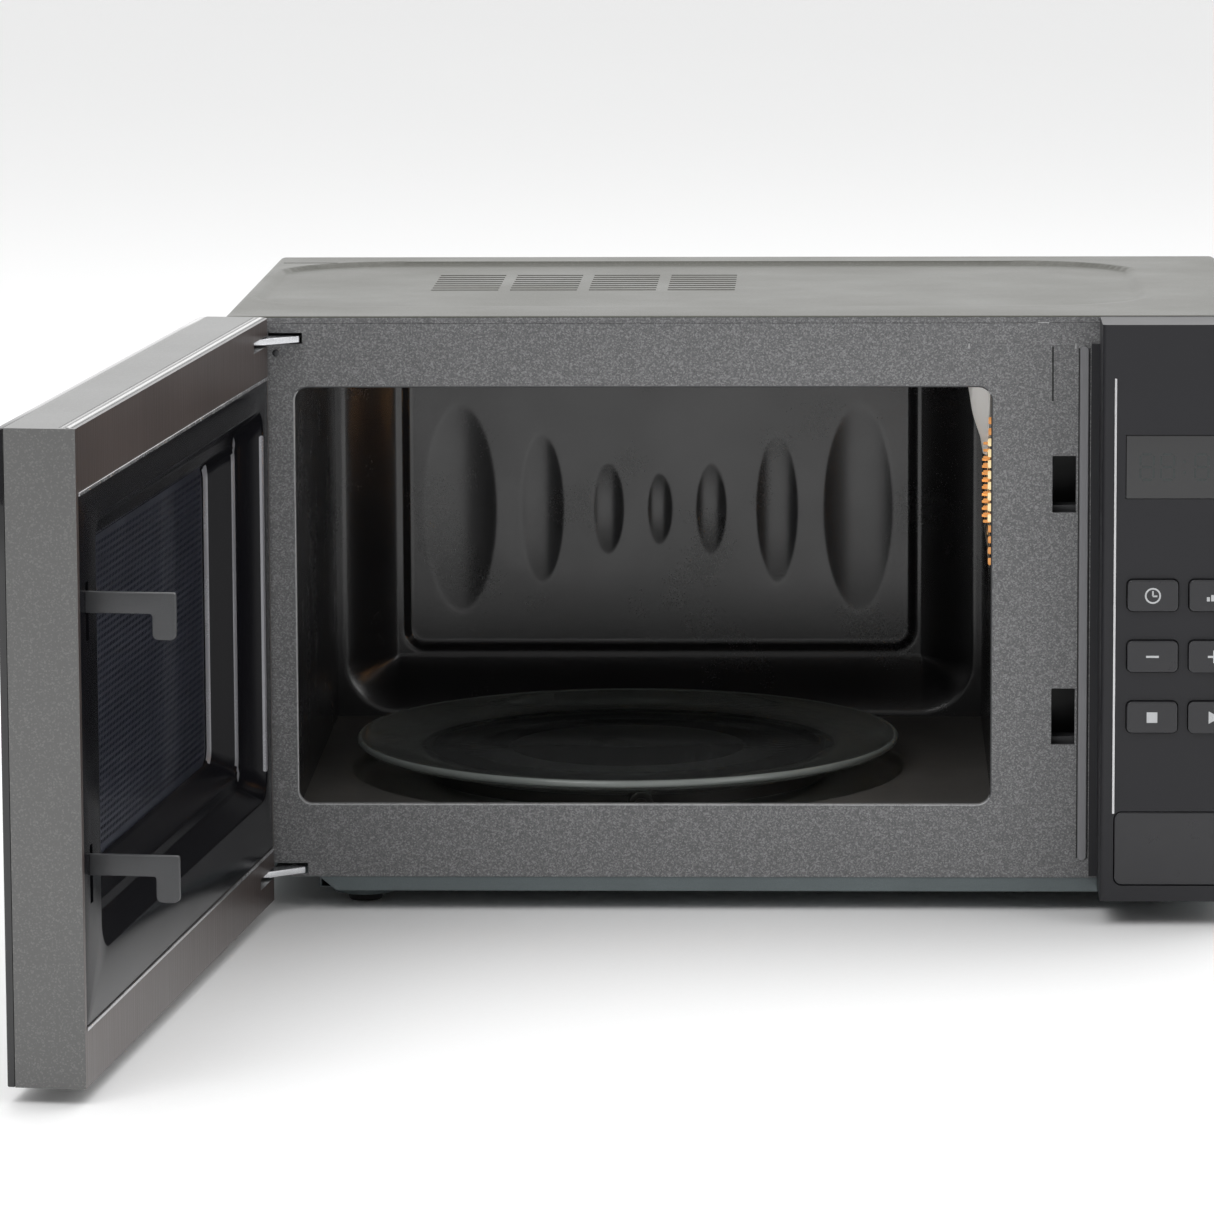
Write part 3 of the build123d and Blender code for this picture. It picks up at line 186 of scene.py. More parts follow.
finish = {
    "cover_paint": Shade("cover paint", (0.098, 0.098, 0.086), 0.34, Specular_IOR_Level=0.09).dress(
        0.05, 70, 0.5, 0.10, 0.04, extra=speckles(0.6, 0.4, (0.15, 0.15, 0.135), 0.5)
    ),
    "base_paint": Shade("base paint", (0.135, 0.162, 0.168), 0.4, 0.3).dress(0.1, 30, 0.6, 0.1),
    "plate_paint": Shade("plate paint", (0.155, 0.156, 0.160), 0.42, 0.25).dress(
        0.24, 0.8, 0.5, 0.14, 0.06, extra=speckles(0.6, 0.55, (0.36, 0.362, 0.365), 0.62)
    ),
    "cavity_enamel": Shade("cavity enamel", (0.020, 0.0195, 0.021), 0.25, Specular_IOR_Level=0.9).dress(
        0.08, 45, 0.9, 0.03, 0.03
    ),
    "galvanised": Shade("zinc sheet", (0.5, 0.51, 0.52), 0.42, 0.9).dress(
        0.08, 25, 0.8, 0.05, 0.08, extra=speckles(9, 0.9, (0.36, 0.37, 0.39), 0.7)
    ),
    "bright_steel": Shade("bright steel", (0.66, 0.67, 0.69), 0.24, 1.0).dress(0.06, 12, 0.3, 0.05, 0.07),
    "bright_trim": Shade("bright trim", (0.62, 0.62, 0.63), 0.25, 0.85).dress(
        0.06, 20, 0.25, 0.05, 0.06, (1, 1, 30)
    ),
    "rubber": Shade("rubber", (0.018, 0.018, 0.018), 0.75).dress(0.15, 6, 0.3, 0.2, 0.06),
    # The mica's own glow stands in for lamplight.
    "mica": Shade(
        "mica sheet", (0.93, 0.93, 0.92), 0.36, Emission_Color=(1.0, 0.96, 0.9, 1), Emission_Strength=0.2
    ).dress(
        0.04, 14, 0.6, 0.08, 0.06, extra=speckles(2.2, 0.3, (0.70, 0.66, 0.58), 0.4)
    ),
    "table_glass": Shade(
        "pressed glass", (0.78, 0.84, 0.82), 0.03, Transmission_Weight=0.985, IOR=1.47
    ).dress(0.02, 60, 4, 0.02, 0.015),
    "dark_glass": Shade(
        "dark glass", (0.008, 0.008, 0.009), 0.06, Coat_Weight=0.5, Coat_Roughness=0.03
    ).dress(0.1, 80, 6, 0.006, 0.02),
    "film": Shade("clear film", (0.86, 0.88, 0.94), 0.03, Transmission_Weight=1.0, IOR=1.03).dress(
        0.02, 50, 7, 0.0005, 0.01
    ),
    "gloss_black": Shade(
        "gloss black plastic", (0.006, 0.006, 0.0075), 0.2, Specular_IOR_Level=0.14
    ).dress(0.1, 70, 0.7, 0.02, 0.02),
    "door_plastic": Shade("brushed door plastic", (0.072, 0.056, 0.052), 0.32, 0.2).dress(
        0.14, 90, 1.5, 0.10, 0.025, (1, 1, 60)
    ),
    "latch_plastic": Shade("grey moulded plastic", (0.052, 0.053, 0.056), 0.42).dress(
        0.1, 15, 0.5, 0.1, 0.07
    ),
    "roller_plastic": Shade("roller plastic", (0.030, 0.028, 0.026), 0.4).dress(
        0.08, 12, 0.5, 0.08, 0.05
    ),
    "white_plastic": Shade("white moulded plastic", (0.62, 0.62, 0.59), 0.42).dress(
        0.04, 15, 0.5, 0.08, 0.07
    ),
    "screen_paint": Shade("screen paint", (0.036, 0.0365, 0.044), 0.4).dress(0.1, 30, 0.3, 0.08),
    "copper": Shade("enamelled wire", (0.50, 0.20, 0.09), 0.32, 0.9).dress(
        0.1, 10, 0.4, 0.15, extra=stripes("Z", 0.9, (0.20, 0.07, 0.03))
    ),
    "core_steel": Shade("laminated steel", (0.12, 0.12, 0.125), 0.5, 0.7).dress(
        0.1, 12, 0.4, 0.15, extra=stripes("Y", 0.8, (0.05, 0.05, 0.05))
    ),
    "aluminium": Shade("plain aluminium", (0.62, 0.62, 0.64), 0.36, 1.0).dress(0.06, 15, 0.4, 0.05),
    "board": Shade("circuit board", (0.10, 0.16, 0.055), 0.5).dress(
        0.08, 20, 0.5, 0.05, extra=speckles(3.2, 0.15, (0.45, 0.45, 0.4), 0.8)
    ),
    "key_plastic": Shade("key plastic", (0.026, 0.026, 0.029), 0.33).dress(0.08, 15, 0.35, 0.08, 0.05),
}
lamp_glow = Shade(
    "lamp glow", (1.0, 0.8, 0.5), 0.3, Emission_Color=(1.0, 0.50, 0.17, 1), Emission_Strength=22.0
)
finish["lamp_glass"] = lamp_glow.dress(0.05, 8, 2, 0.02)
tinted = Shade("tinted window glass", (0.014, 0.015, 0.018), 0.05, Transmission_Weight=1.0, IOR=1.5).dress(
    0.03, 60, 6, 0.006, 0.02
)
edge_paint = Shade("silver edge paint", (0.15, 0.15, 0.148), 0.30, 0.4, Specular_IOR_Level=0.2).dress(
    0.03, 60, 0.35, 0.04, 0.02, extra=speckles(0.6, 0.3, (0.28, 0.28, 0.276), 0.4)
)
lit_rim = Shade("bare hole rim", (0.78, 0.74, 0.66), 0.4, 0.3).dress(0.08, 5, 0.3, 0.05)
printed = Shade("pale print", (0.55, 0.56, 0.57), 0.4).dress(0.05, 6, 0.3, 0.05)
faint = Shade("unlit segments", (0.035, 0.042, 0.042), 0.35).dress(0.05, 6, 0.3, 0.03)
strip_satin = Shade("satin strip", (0.22, 0.22, 0.23), 0.36, 0.5).dress(
    0.08, 20, 0.4, 0.05, 0.05, (1, 1, 30)
)
panel_satin = Shade("panel satin", (0.022, 0.022, 0.025), 0.38, Specular_IOR_Level=0.3).dress(
    0.08, 60, 0.5, 0.05, 0.03
)
# Dark for joints, and painted shade where a stamped bead is darkened.
shadow_line = Shade("dark joint and painted shade", (0.006, 0.006, 0.006), 0.6).dress(0.1, 10, 0.5, 0.05)
bead_silver = Shade("silver bead", (0.62, 0.62, 0.615), 0.22, 0.7).dress(0.04, 30, 0.3, 0.04, 0.04)
plate_rim = Shade(
    "pressed glass rim", (0.74, 0.79, 0.75), 0.09, Transmission_Weight=0.93, IOR=1.47
).dress(0.05, 25, 3, 0.04, 0.03)
# Painted light: the floor takes a lighter, warmer copy of the cavity enamel, for the light that falls on it.
lit_floor_enamel = Shade("floor enamel painted lighter", (0.125, 0.119, 0.112), 0.34).dress(0.1, 30, 0.8, 0.04, 0.04)
# Painted light: both glow by themselves, standing for lamplight seen through the wall's holes.
hole_glow = Shade(
    "lit hole", (0.45, 0.26, 0.1), 0.4, Emission_Color=(1.0, 0.42, 0.12, 1), Emission_Strength=0.55
).dress(0.1, 6, 1, 0.02)
hole_white = Shade(
    "bright hole", (0.8, 0.65, 0.4), 0.4, Emission_Color=(1.0, 0.80, 0.45, 1), Emission_Strength=0.75
).dress(0.1, 6, 1, 0.02)
# Painted highlight: a lighter paint for the inner cover's upright bends on the hinge side.
edge_gleam = Shade("painted highlight edge", (0.30, 0.30, 0.32), 0.25, 0.4).dress(0.1, 40, 0.5, 0.03, 0.04)
# Painted highlight: a lighter, less clear glass for the plate's outermost edge, for the bright lines along
# its rim.
plate_edge_highlight = Shade("painted glass edge highlight", (0.36, 0.39, 0.37), 0.1, Transmission_Weight=0.4, IOR=1.47).dress(
    0.05, 25, 3, 0.04, 0.03
)
# Painted highlight: a light grey for the opening's rolled lip and the bead ends, for the light that their
# bends catch.
bend_highlight_paint = Shade("painted bend highlight", (0.46, 0.462, 0.466), 0.33, 0.4).dress(
    0.08, 20, 0.5, 0.1, 0.06, extra=speckles(1.0, 0.4, (0.25, 0.25, 0.26), 0.6)
)


# ---------------------------------------------------------------- mesh tools
def smooth(mesh, angle):
    """Shade smooth, with the edges sharper than this many degrees kept sharp."""
    work = bmesh.new()
    work.from_mesh(mesh)
    for face in work.faces:
        face.smooth = True
    for edge in work.edges:
        edge.smooth = len(edge.link_faces) == 2 and edge.calc_face_angle(0) < math.radians(angle)
    work.to_mesh(mesh)
    work.free()


def settle(obj, nodes, material=None, body=None, slot=None):
    """Give a piece its finish and its body, and hide the CAD nodes that it stands for."""
    slot = slot or slot_of[nodes[0]]
    if not obj.data.materials:
        obj.data.materials.append(material or finish[slot])
    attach(obj, body or body_of[nodes[0]])
    if nodes:
        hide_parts(*nodes)
    return obj


def applied(obj):
    """Apply an object's modifiers to its mesh."""
    graph = bpy.context.evaluated_depsgraph_get()
    obj.data = bpy.data.meshes.new_from_object(obj.evaluated_get(graph), depsgraph=graph)
    obj.modifiers.clear()
    return obj


def make(name, points, faces, angle=35, thick=0.0, offset=-1.0, bevel=0.0):
    """An object from points in millimetres, thickened and bevelled where asked."""
    mesh = bpy.data.meshes.new(name)
    mesh.from_pydata([(x * MM, y * MM, z * MM) for x, y, z in points], [], faces)
    work = bmesh.new()
    work.from_mesh(mesh)
    bmesh.ops.remove_doubles(work, verts=work.verts, dist=1e-6)
    bmesh.ops.recalc_face_normals(work, faces=work.faces)
    work.to_mesh(mesh)
    work.free()
    obj = bpy.data.objects.new(name, mesh)
    scene.collection.objects.link(obj)
    if thick:
        shell = obj.modifiers.new("shell", "SOLIDIFY")
        shell.thickness, shell.offset, shell.use_even_offset = thick * MM, offset, True
    if bevel:
        edge = obj.modifiers.new("bevel", "BEVEL")
        edge.width, edge.segments, edge.angle_limit = bevel * MM, 3, math.radians(30)
    if thick or bevel:
        applied(obj)
    smooth(obj.data, angle)
    return obj


def softened(node, width, segments=2, material=None, angle=30):
    """A copy of a CAD piece with its edges rounded to this many millimetres."""
    mesh = frame["nodes"][node].data.copy()
    mesh.materials.clear()
    work = bmesh.new()
    work.from_mesh(mesh)
    bmesh.ops.remove_doubles(work, verts=work.verts, dist=2e-6)
    bmesh.ops.dissolve_limit(work, angle_limit=math.radians(0.5), verts=work.verts, edges=work.edges)
    work.to_mesh(mesh)
    work.free()
    obj = bpy.data.objects.new(f"soft_{node}", mesh)
    scene.collection.objects.link(obj)
    edge = obj.modifiers.new("bevel", "BEVEL")
    edge.width, edge.segments, edge.limit_method = width * MM, segments, "ANGLE"
    edge.angle_limit, edge.use_clamp_overlap = math.radians(angle), True
    obj.modifiers.new("normals", "WEIGHTED_NORMAL").keep_sharp = True
    for face in mesh.polygons:
        face.use_smooth = True
    applied(obj)
    return settle(obj, [node], material)


def grid_faces(rows, columns, wrap=False, start=0):
    """Quads between rows of points; wrap joins the last column to the first."""
    return [
        (
            start + r * columns + c,
            start + r * columns + (c + 1) % columns,
            start + (r + 1) * columns + (c + 1) % columns,
            start + (r + 1) * columns + c,
        )
        for r in range(rows - 1)
        for c in range(columns if wrap else columns - 1)
    ]


def band(first, second, count):
    """Faces joining two closed loops of count points each."""
    return [(first + k, first + (k + 1) % count, second + (k + 1) % count, second + k) for k in range(count)]


def shelled(sheet, behind, thick):
    """Face an open sheet away from the direction behind, and thicken it that way."""
    work = bmesh.new()
    work.from_mesh(sheet.data)
    if sum(face.normal.dot(behind) * face.calc_area() for face in work.faces) > 0:
        bmesh.ops.reverse_faces(work, faces=work.faces)
    work.to_mesh(sheet.data)
    work.free()
    shell = sheet.modifiers.new("shell", "SOLIDIFY")
    shell.thickness, shell.offset = thick * MM, -1.0
    applied(sheet)


def lathe(name, profile, centre, steps=160, angle=40):
    """A turned piece: profile is (radius, z) pairs about a vertical axis through centre."""
    points = []
    for radius, z in profile:
        for i in range(steps):
            turn = 2 * math.pi * i / steps
            points.append((centre[0] + radius * math.cos(turn), centre[1] + radius * math.sin(turn), z))
    return make(name, points, grid_faces(len(profile), steps, True), angle)


def helix(name, centre, axis, length, radius, wire, turns):
    """A coil spring about an axis, as one tube with flat ends."""
    around, steps = 10, int(turns * 24)
    side = Vector((0, 0, 1)) if abs(axis.z) < 0.9 else Vector((1, 0, 0))
    u = axis.cross(side).normalized()
    v = axis.cross(u)
    points = []
    for i in range(steps + 1):
        share = i / steps
        turn = 2 * math.pi * turns * share
        out = u * math.cos(turn) + v * math.sin(turn)
        run = (v * math.cos(turn) - u * math.sin(turn)) * radius * 2 * math.pi * turns + axis * length
        run.normalize()
        up = run.cross(out)
        middle = centre + axis * (wire + (length - 2 * wire) * share) + out * radius
        for j in range(around):
            a = 2 * math.pi * j / around
            points.append(middle + (out * math.cos(a) + up * math.sin(a)) * wire)
    faces = grid_faces(steps + 1, around, True)
    faces += [tuple(range(around)), tuple(range(len(points) - around, len(points)))]
    return make(name, points, faces, 60)


def lines(low, high, step, cuts=()):
    """Coordinates from low to high about step apart, with every cut among them."""
    marks = sorted({low, high, *cuts})
    out = [low]
    for a, b in zip(marks, marks[1:]):
        count = max(1, round((b - a) / step))
        out += [a + (b - a) * (i + 1) / count for i in range(count)]
    return out


# ---------------------------------------------------------------- outer cover
(wx0, wx1), (wy0, wy1), (wz0, wz1) = spans("cabinet_wrap")
COVER_DROP = 6.5
BEND = 4.0
EMBOSS = 2.0
HEM = 3.35
(table_x0, table_x1), (table_y0, table_y1), (glass_z0, glass_z1) = spans("glass_plate")
table_x, table_y = (table_x0 + table_x1) / 2, (table_y0 + table_y1) / 2
vent_x, vent_y = table_x - 22, wy0 + 203
VENT_GROUPS, VENT_SLOTS = 4, 8
VENT_WIDTH, VENT_PITCH_X, VENT_SLOT, VENT_PITCH_Y = 33.4, 39.2, 5.0, 11.9
vent_xs = [vent_x + (i - (VENT_GROUPS - 1) / 2) * VENT_PITCH_X for i in range(VENT_GROUPS)]
vent_ys = [vent_y + (i - (VENT_SLOTS - 1) / 2) * VENT_PITCH_Y for i in range(VENT_SLOTS)]


def cover_top(y):
    return wz1 - COVER_DROP * (y - wy0) / (wy1 - wy0)


def top_sink(x, y):
    """How far the stamped middle of the top lies below its border."""
    left, right, front, back = -235.0, 196.0, -113.0, 138.0
    d = rounded_distance(
        x - (left + right) / 2, y - (front + back) / 2, (right - left) / 2, (back - front) / 2, 57
    )
    return EMBOSS * smoothstep(1.3, -1.3, d)


def side_sink(y, z):
    d = rounded_distance(y, z - (wz0 + wz1) / 2, (wy1 - wy0) / 2 - 26, (wz1 - wz0) / 2 - 26, 22)
    return 1.1 * smoothstep(2.2, -2.2, d)


def build_cover():
    slit_x, slit_y = (-239.0, -211.0), (130.3, 132.7)
    cuts = [x + s * VENT_WIDTH / 2 for x in vent_xs for s in (-1, 1)]
    xs = lines(wx0 + BEND, wx1 - BEND, 2.6, [*cuts, *slit_x])
    cuts = [y + s * VENT_SLOT / 2 for y in vent_ys for s in (-1, 1)]
    ys = lines(wy0 + 1.2, wy1, 2.2, [*cuts, *slit_y])
    rows = [(wy0, HEM), (wy0, 0.8), (wy0 + 0.35, 0.2)] + [(y, 0.0) for y in ys]
    arc = [math.radians(90 * i / 6) for i in range(1, 6)]
    heights = [i / 60 for i in range(61)]
    points, columns = [], 0
    for y, lower in rows:
        top = cover_top(y)
        row = []
        side = [wz0 + t * (top - BEND - wz0) for t in heights]
        row += [(wx0 + lower + side_sink(y, z), y, z) for z in side]
        reach = BEND - lower
        row += [(wx0 + BEND - reach * math.cos(a), y, top - BEND + reach * math.sin(a)) for a in arc]
        row += [(x, y, top - lower - top_sink(x, y)) for x in xs]
        row += [(wx1 - BEND + reach * math.sin(a), y, top - BEND + reach * math.cos(a)) for a in arc]
        row += [(wx1 - lower - side_sink(y, z), y, z) for z in reversed(side)]
        points += row
        columns = len(row)
    faces = []
    for face in grid_faces(len(rows), columns):
        corners = [points[i] for i in face]
        cx = sum(p[0] for p in corners) / 4
        cy = sum(p[1] for p in corners) / 4
        cz = sum(p[2] for p in corners) / 4
        open_x = any(abs(cx - x) < VENT_WIDTH / 2 for x in vent_xs)
        open_y = any(abs(cy - y) < VENT_SLOT / 2 for y in vent_ys)
        in_slit = slit_x[0] < cx < slit_x[1] and slit_y[0] < cy < slit_y[1]
        if not ((open_x and open_y or in_slit) and cz > cover_top(cy) - 3):
            faces.append(face)
    # A pressed louvre hangs from the back edge of each slot.
    for x in vent_xs:
        for y in vent_ys:
            start = len(points)
            for share in (0.0, 0.35, 0.7, 1.0):
                back = y + VENT_SLOT / 2 - share * (VENT_SLOT - 1.4)
                drop = 4.2 * math.sin(share * math.pi / 2)
                for side in (-1, 1):
                    px = x + side * (VENT_WIDTH / 2 - 0.7 * share)
                    edge_y = y + VENT_SLOT / 2
                    points.append((px, back, cover_top(edge_y) - top_sink(px, edge_y) - drop))
            faces += grid_faces(4, 2, start=start)
    cover = make("outer_cover", points, faces, 40, thick=0.8)
    cover.data.materials.append(finish["cover_paint"])
    cover.data.materials.append(finish["plate_paint"])
    for face in cover.data.polygons:
        if face.normal.y < -0.9 and face.center.y < (wy0 + 0.2) * MM:
            face.material_index = 1
    return settle(cover, ["cabinet_wrap"])


build_cover()

# ---------------------------------------------------------------- front plate and cavity
_, (fy0, _), _ = spans("cavity_front_plate")
(_, lx1), _, (cz0, cz1) = spans("cavity_left_wall")
(rx0, _), _, _ = spans("cavity_right_wall")
OPEN_X, OPEN_LOW, OPEN_HIGH, OPEN_R = 1.5, 6.0, 5.0, 6.5
ox0, ox1, oz0, oz1 = lx1 + OPEN_X, rx0 - OPEN_X, cz0 + OPEN_LOW, cz1 - OPEN_HIGH
softened("cavity_front_plate", 0.3)


def rounded_loop(x0, x1, z0, z1, radius, steps=10):
    """Points round a rounded rectangle, counter-clockwise, with the outward direction at each."""
    out = []
    for cx, cz, start in (
        (x1 - radius, z1 - radius, 0),
        (x0 + radius, z1 - radius, 90),
        (x0 + radius, z0 + radius, 180),
        (x1 - radius, z0 + radius, 270),
    ):
        for i in range(steps + 1):
            a = math.radians(start + 90 * i / steps)
            out.append((cx + radius * math.cos(a), cz + radius * math.sin(a), math.cos(a), math.sin(a)))
    return out


loop = rounded_loop(ox0, ox1, oz0, oz1, OPEN_R)
lip = [(0.6, 0.0), (0.45, -0.1), (0.25, -0.15), (0.05, -0.08), (-0.1, 0.25), (-0.1, 3.4)]
lip += [(0.25, 3.4), (0.35, 0.6)]
lip_points = [(x + dx * out, fy0 + y, z + dz * out) for out, y in lip for x, z, dx, dz in loop]
lip_piece = make("opening_lip", lip_points + [lip_points[i] for i in range(len(loop))],
                 grid_faces(len(lip) + 1, len(loop), True), 60)
settle(lip_piece, [], bend_highlight_paint, "cabinet", "plate_paint")
# Painted shade: the lip's top and right take the dark grey plastic, since less light falls there.
lip_piece.data.materials.append(finish["latch_plastic"])
for face in lip_piece.data.polygons:
    if face.center.z / MM > oz1 - 2 or face.center.x / MM > ox1 - 0.5:
        face.material_index = 1


def bead(name, path, half, rise, material, slot):
    """A low half-round bead on the front plate along (x, z) points."""
    points = []
    for i, (x, z) in enumerate(path):
        a, b = path[max(0, i - 1)], path[min(len(path) - 1, i + 1)]
        run = math.hypot(b[0] - a[0], b[1] - a[1])
        nx, nz = -(b[1] - a[1]) / run, (b[0] - a[0]) / run
        for j in range(5):
            turn = math.pi * j / 4
            side, up = half * math.cos(turn), rise * math.sin(turn)
            points.append((x + nx * side, fy0 + 0.05 - up, z + nz * side))
    settle(make(name, points, grid_faces(len(path), 5), 70), [], material, "cabinet", slot)


level_line = [(109.6, 272.8), (125, 273), (147, 273), (160.2, 273)]
upright_line = [(149.3, 272.2), (149.35, 260), (149.4, 246.3)]
bead("spot_bead_level", level_line, 0.55, 0.3, None, "plate_paint")
# Painted shade: the upright bead takes the dark joint colour for the shade along it.
bead("spot_bead_upright", upright_line, 0.4, 0.3, shadow_line, "plate_paint")
# The bead ends take the painted highlight of the bends.
for number, (x, z) in enumerate(((109.6, 272.6), (160.2, 272.6)), start=1):
    bead(f"bead_end_{number}", [(x, z - 1.4), (x, z), (x, z + 1.2)], 0.6, 0.45, bend_highlight_paint, "plate_paint")


def dome(name, centre, radius, height, material, slot):
    """A small domed head on the front plate."""
    profile = [(radius, 0.0), (radius, 0.25 * height), (radius * 0.8, 0.7 * height)]
    profile += [(radius * 0.4, height), (0.01, height)]
    points = [
        (centre[0] + r * math.cos(math.pi * i / 12), fy0 - h, centre[1] + r * math.sin(math.pi * i / 12))
        for r, h in profile
        for i in range(24)
    ]
    return settle(make(name, points, grid_faces(len(profile), 24, True), 50), [], material, "cabinet", slot)


dome("plate_rivet", (-218.9, 269.5), 1.7, 0.6, finish["latch_plastic"], "latch_plastic")

for node in ("cavity_left_wall", "cavity_roof"):
    softened(node, 0.25)
right_wall = softened("cavity_right_wall", 0.15, 1)
right_wall.data.materials.append(lit_rim)
for face in right_wall.data.polygons:
    cy, cz = face.center.y / MM, face.center.z / MM
    if abs(face.normal.x) < 0.9 and wy0 + 60 < cy < wy0 + 240 and oz0 + 90 < cz < oz0 + 170:
        face.material_index = 1


def build_back():
    """The drawn back of the cavity, with its stamped panel and seven dimples."""
    (bx0, bx1), (by0, _), (bz0, bz1) = spans("cavity_back")
    cx, cz = (bx0 + bx1) / 2, (bz0 + bz1) / 2
    half_x, half_z = (bx1 - bx0) / 2 - 0.8 - 4.0, (bz1 - bz0) / 2 - 0.8 - 2.0
    panel_x, panel_z = half_x - 29, half_z - 29
    # Each dimple's place and height as shares of the panel, with its half width and depth.
    dimple_sizes = (
        (0.0, 6.5, 0.25, 1.5),
        (0.2, 8.0, 0.32, 1.7),
        (0.457, 11.0, 0.52, 2.1),
        (0.774, 18.3, 0.72, 2.9),
    )
    sheet = 0.8
    depth_pan, depth_panel, slope = 18.0, 4.0, 27.0

    def depth(x, z):
        inward = -rounded_distance(x, z, half_x, half_z, 27) / slope
        out = depth_pan * (0.7 * min(1.0, max(0.0, inward)) + 0.3 * smoothstep(0.0, 1.0, inward))
        out += depth_panel * smoothstep(0.5, -5.0, rounded_distance(x, z, panel_x, panel_z, 12))
        for place, half_width, share, depth_dimple in dimple_sizes:
            h = 1 - ((abs(x) - place * panel_x) / half_width) ** 2 - (z / (panel_z * share)) ** 2
            if h > -0.8:
                out += depth_dimple * 0.5 * (h + math.sqrt(h * h + 0.003))
        return out

    xs = lines(bx0, bx1, 1.0)
    zs = lines(bz0, bz1, 1.2)
    points = [(x, by0 + depth(x - cx, z - cz), z) for z in zs for x in xs]
    back = make("cavity_back_sheet", points, grid_faces(len(zs), len(xs)), 60)
    shelled(back, Vector((0, 1, 0)), sheet)
    smooth(back.data, 60)
    settle(back, ["cavity_back"])


build_back()


def build_floor():
    """The cavity's floor: a flat sheet with the round stamped track and the hole for the shaft."""
    (x0, x1), (y0, y1), (_, z1) = spans("cavity_floor")
    track, drop, hole, steps = 138.0, 7.0, 4.5, 144
    rings = [(hole, -drop), (12, -drop), (40, -drop), (88, -drop), (92, -drop + 0.5), (96, -drop)]
    rings += [(track - 6.5, -drop), (track - 4.5, -drop + 0.5), (track - 2.6, -drop + 2.2)]
    rings += [(track - 1.6, -drop + 4.4), (track - 0.9, -1.2), (track - 0.1, -0.3), (track + 1.2, 0.0)]
    points = []
    for radius, z in rings:
        for i in range(steps):
            turn = 2 * math.pi * i / steps
            points.append((table_x + radius * math.cos(turn), table_y + radius * math.sin(turn), z1 + z))
    # From the track out to the edges of the sheet.
    for share in (0.3, 1.0):
        for i in range(steps):
            turn = 2 * math.pi * i / steps
            c, s = math.cos(turn), math.sin(turn)
            reach = min(
                ((x1 if c > 0 else x0) - table_x) / c if abs(c) > 1e-9 else 1e9,
                ((y1 if s > 0 else y0) - table_y) / s if abs(s) > 1e-9 else 1e9,
            )
            start = track + 1.2
            radius = start + (reach - start) * share
            points.append((table_x + radius * c, table_y + radius * s, z1))
    corner = len(points)
    last = corner - steps
    faces = grid_faces(len(rings) + 2, steps, True)
    for x, y in ((x0, y0), (x1, y0), (x1, y1), (x0, y1)):
        turn = math.atan2(y - table_y, x - table_x) % (2 * math.pi)
        i = int(turn / (2 * math.pi) * steps)
        points.append((x, y, z1))
        faces.append((last + i, last + (i + 1) % steps, len(points) - 1))
    floor = make("cavity_floor_sheet", points, faces, 50)
    shelled(floor, Vector((0, 0, -1)), 0.8)
    smooth(floor.data, 50)
    # The floor sheet takes the enamel that is painted lighter.
    settle(floor, ["cavity_floor"], lit_floor_enamel)


build_floor()


def build_mica():
    """The sheet over the microwave port: bowed away from the wall, its lower front corner cut away."""
    (_, x1), (y0, y1), (z0, z1) = spans("waveguide_cover")
    rows, columns = 24, 40
    points = []
    for r in range(rows + 1):
        share = r / rows
        z = z0 + (z1 - z0) * share
        front = y0 + 60 * (1 - share) ** 2
        proud = 1.5 + 7.0 * smoothstep(0.0, 0.7, share)
        for c in range(columns + 1):
            t = c / columns
            y = front + (y1 - front) * t * t
            bow = proud * smoothstep(0, 10, y - front) * smoothstep(y1, y1 - 40, y)
            points.append((x1 - 0.9 - bow, y, z))
    sheet = make("mica_sheet", points, grid_faces(rows + 1, columns + 1), 60, thick=0.4, offset=0.0)
    settle(sheet, ["waveguide_cover"])


def build_collars():
    """Rings on the wall that glow by themselves, at given places and not over the wall's own holes."""
    steps = 12
    column = [(-112.0, 230.0 - 5.27 * k) for k in range(14)]
    behind = [(-66.0, 213.0 - 3.5 * k) for k in range(12)] + [(-38.0, 201.3 - 3.5 * k) for k in range(9)]
    fields = (
        ("collars_near", hole_white, column[2:10], 1.3, 1.9, 2.0),
        ("collars_ends", hole_glow, column[:2] + column[10:], 1.3, 1.7, 1.8),
        ("collars_far", hole_glow, behind, 0.5, 0.75, 3.2),
    )
    for name, material, spots, half_y, half_z, rise in fields:
        points, faces = [], []
        for y, z in spots:
            start = len(points)
            outside = ((1.0, -0.2), (1.0, rise * 0.7), (0.85, rise))
            inside = ((0.6, rise), (0.5, rise * 0.6), (0.5, -0.2))
            for scale, out in outside + inside:
                for i in range(steps):
                    turn = 2 * math.pi * i / steps
                    points.append((
                        rx0 - out, y + half_y * scale * math.cos(turn), z + half_z * scale * math.sin(turn)
                    ))
            faces += grid_faces(6, steps, True, start)
        settle(make(name, points, faces, 40), [], material, "cabinet", "lamp_glass")


build_mica()
build_collars()

# ---------------------------------------------------------------- turntable
plate_r = (table_x1 - table_x0) / 2
flat = plate_r - 30
profile = [(0.01, 4.0), (flat - 12, 4.0), (flat - 2, 4.1)]
rim_z = glass_z1 - glass_z0
profile += [
    (flat - 2 + (plate_r - 2.4 - flat + 2) * t, 4.1 + (rim_z - 4.2) * (0.18 * t + 0.82 * t * t))
    for t in (0.15, 0.3, 0.45, 0.6, 0.75, 0.88, 1.0)
]
profile += [(plate_r - 1.2, rim_z), (plate_r - 0.2, rim_z - 0.9), (plate_r, rim_z - 2.2)]
profile += [(plate_r - 0.5, rim_z - 3.2)]
profile += [
    (flat + (plate_r - 3.0 - flat) * t, (rim_z - 4.6) * (0.15 * t + 0.85 * t * t))
    for t in (0.92, 0.8, 0.65, 0.5, 0.35, 0.2, 0.08)
]
profile += [(flat, 0.0), (flat - 6, 0.0), (flat - 7.5, 0.7), (flat - 9, 0.0)]
profile += [(60, 0.0), (58.5, 0.6), (57, 0.0), (0.01, 0.0)]
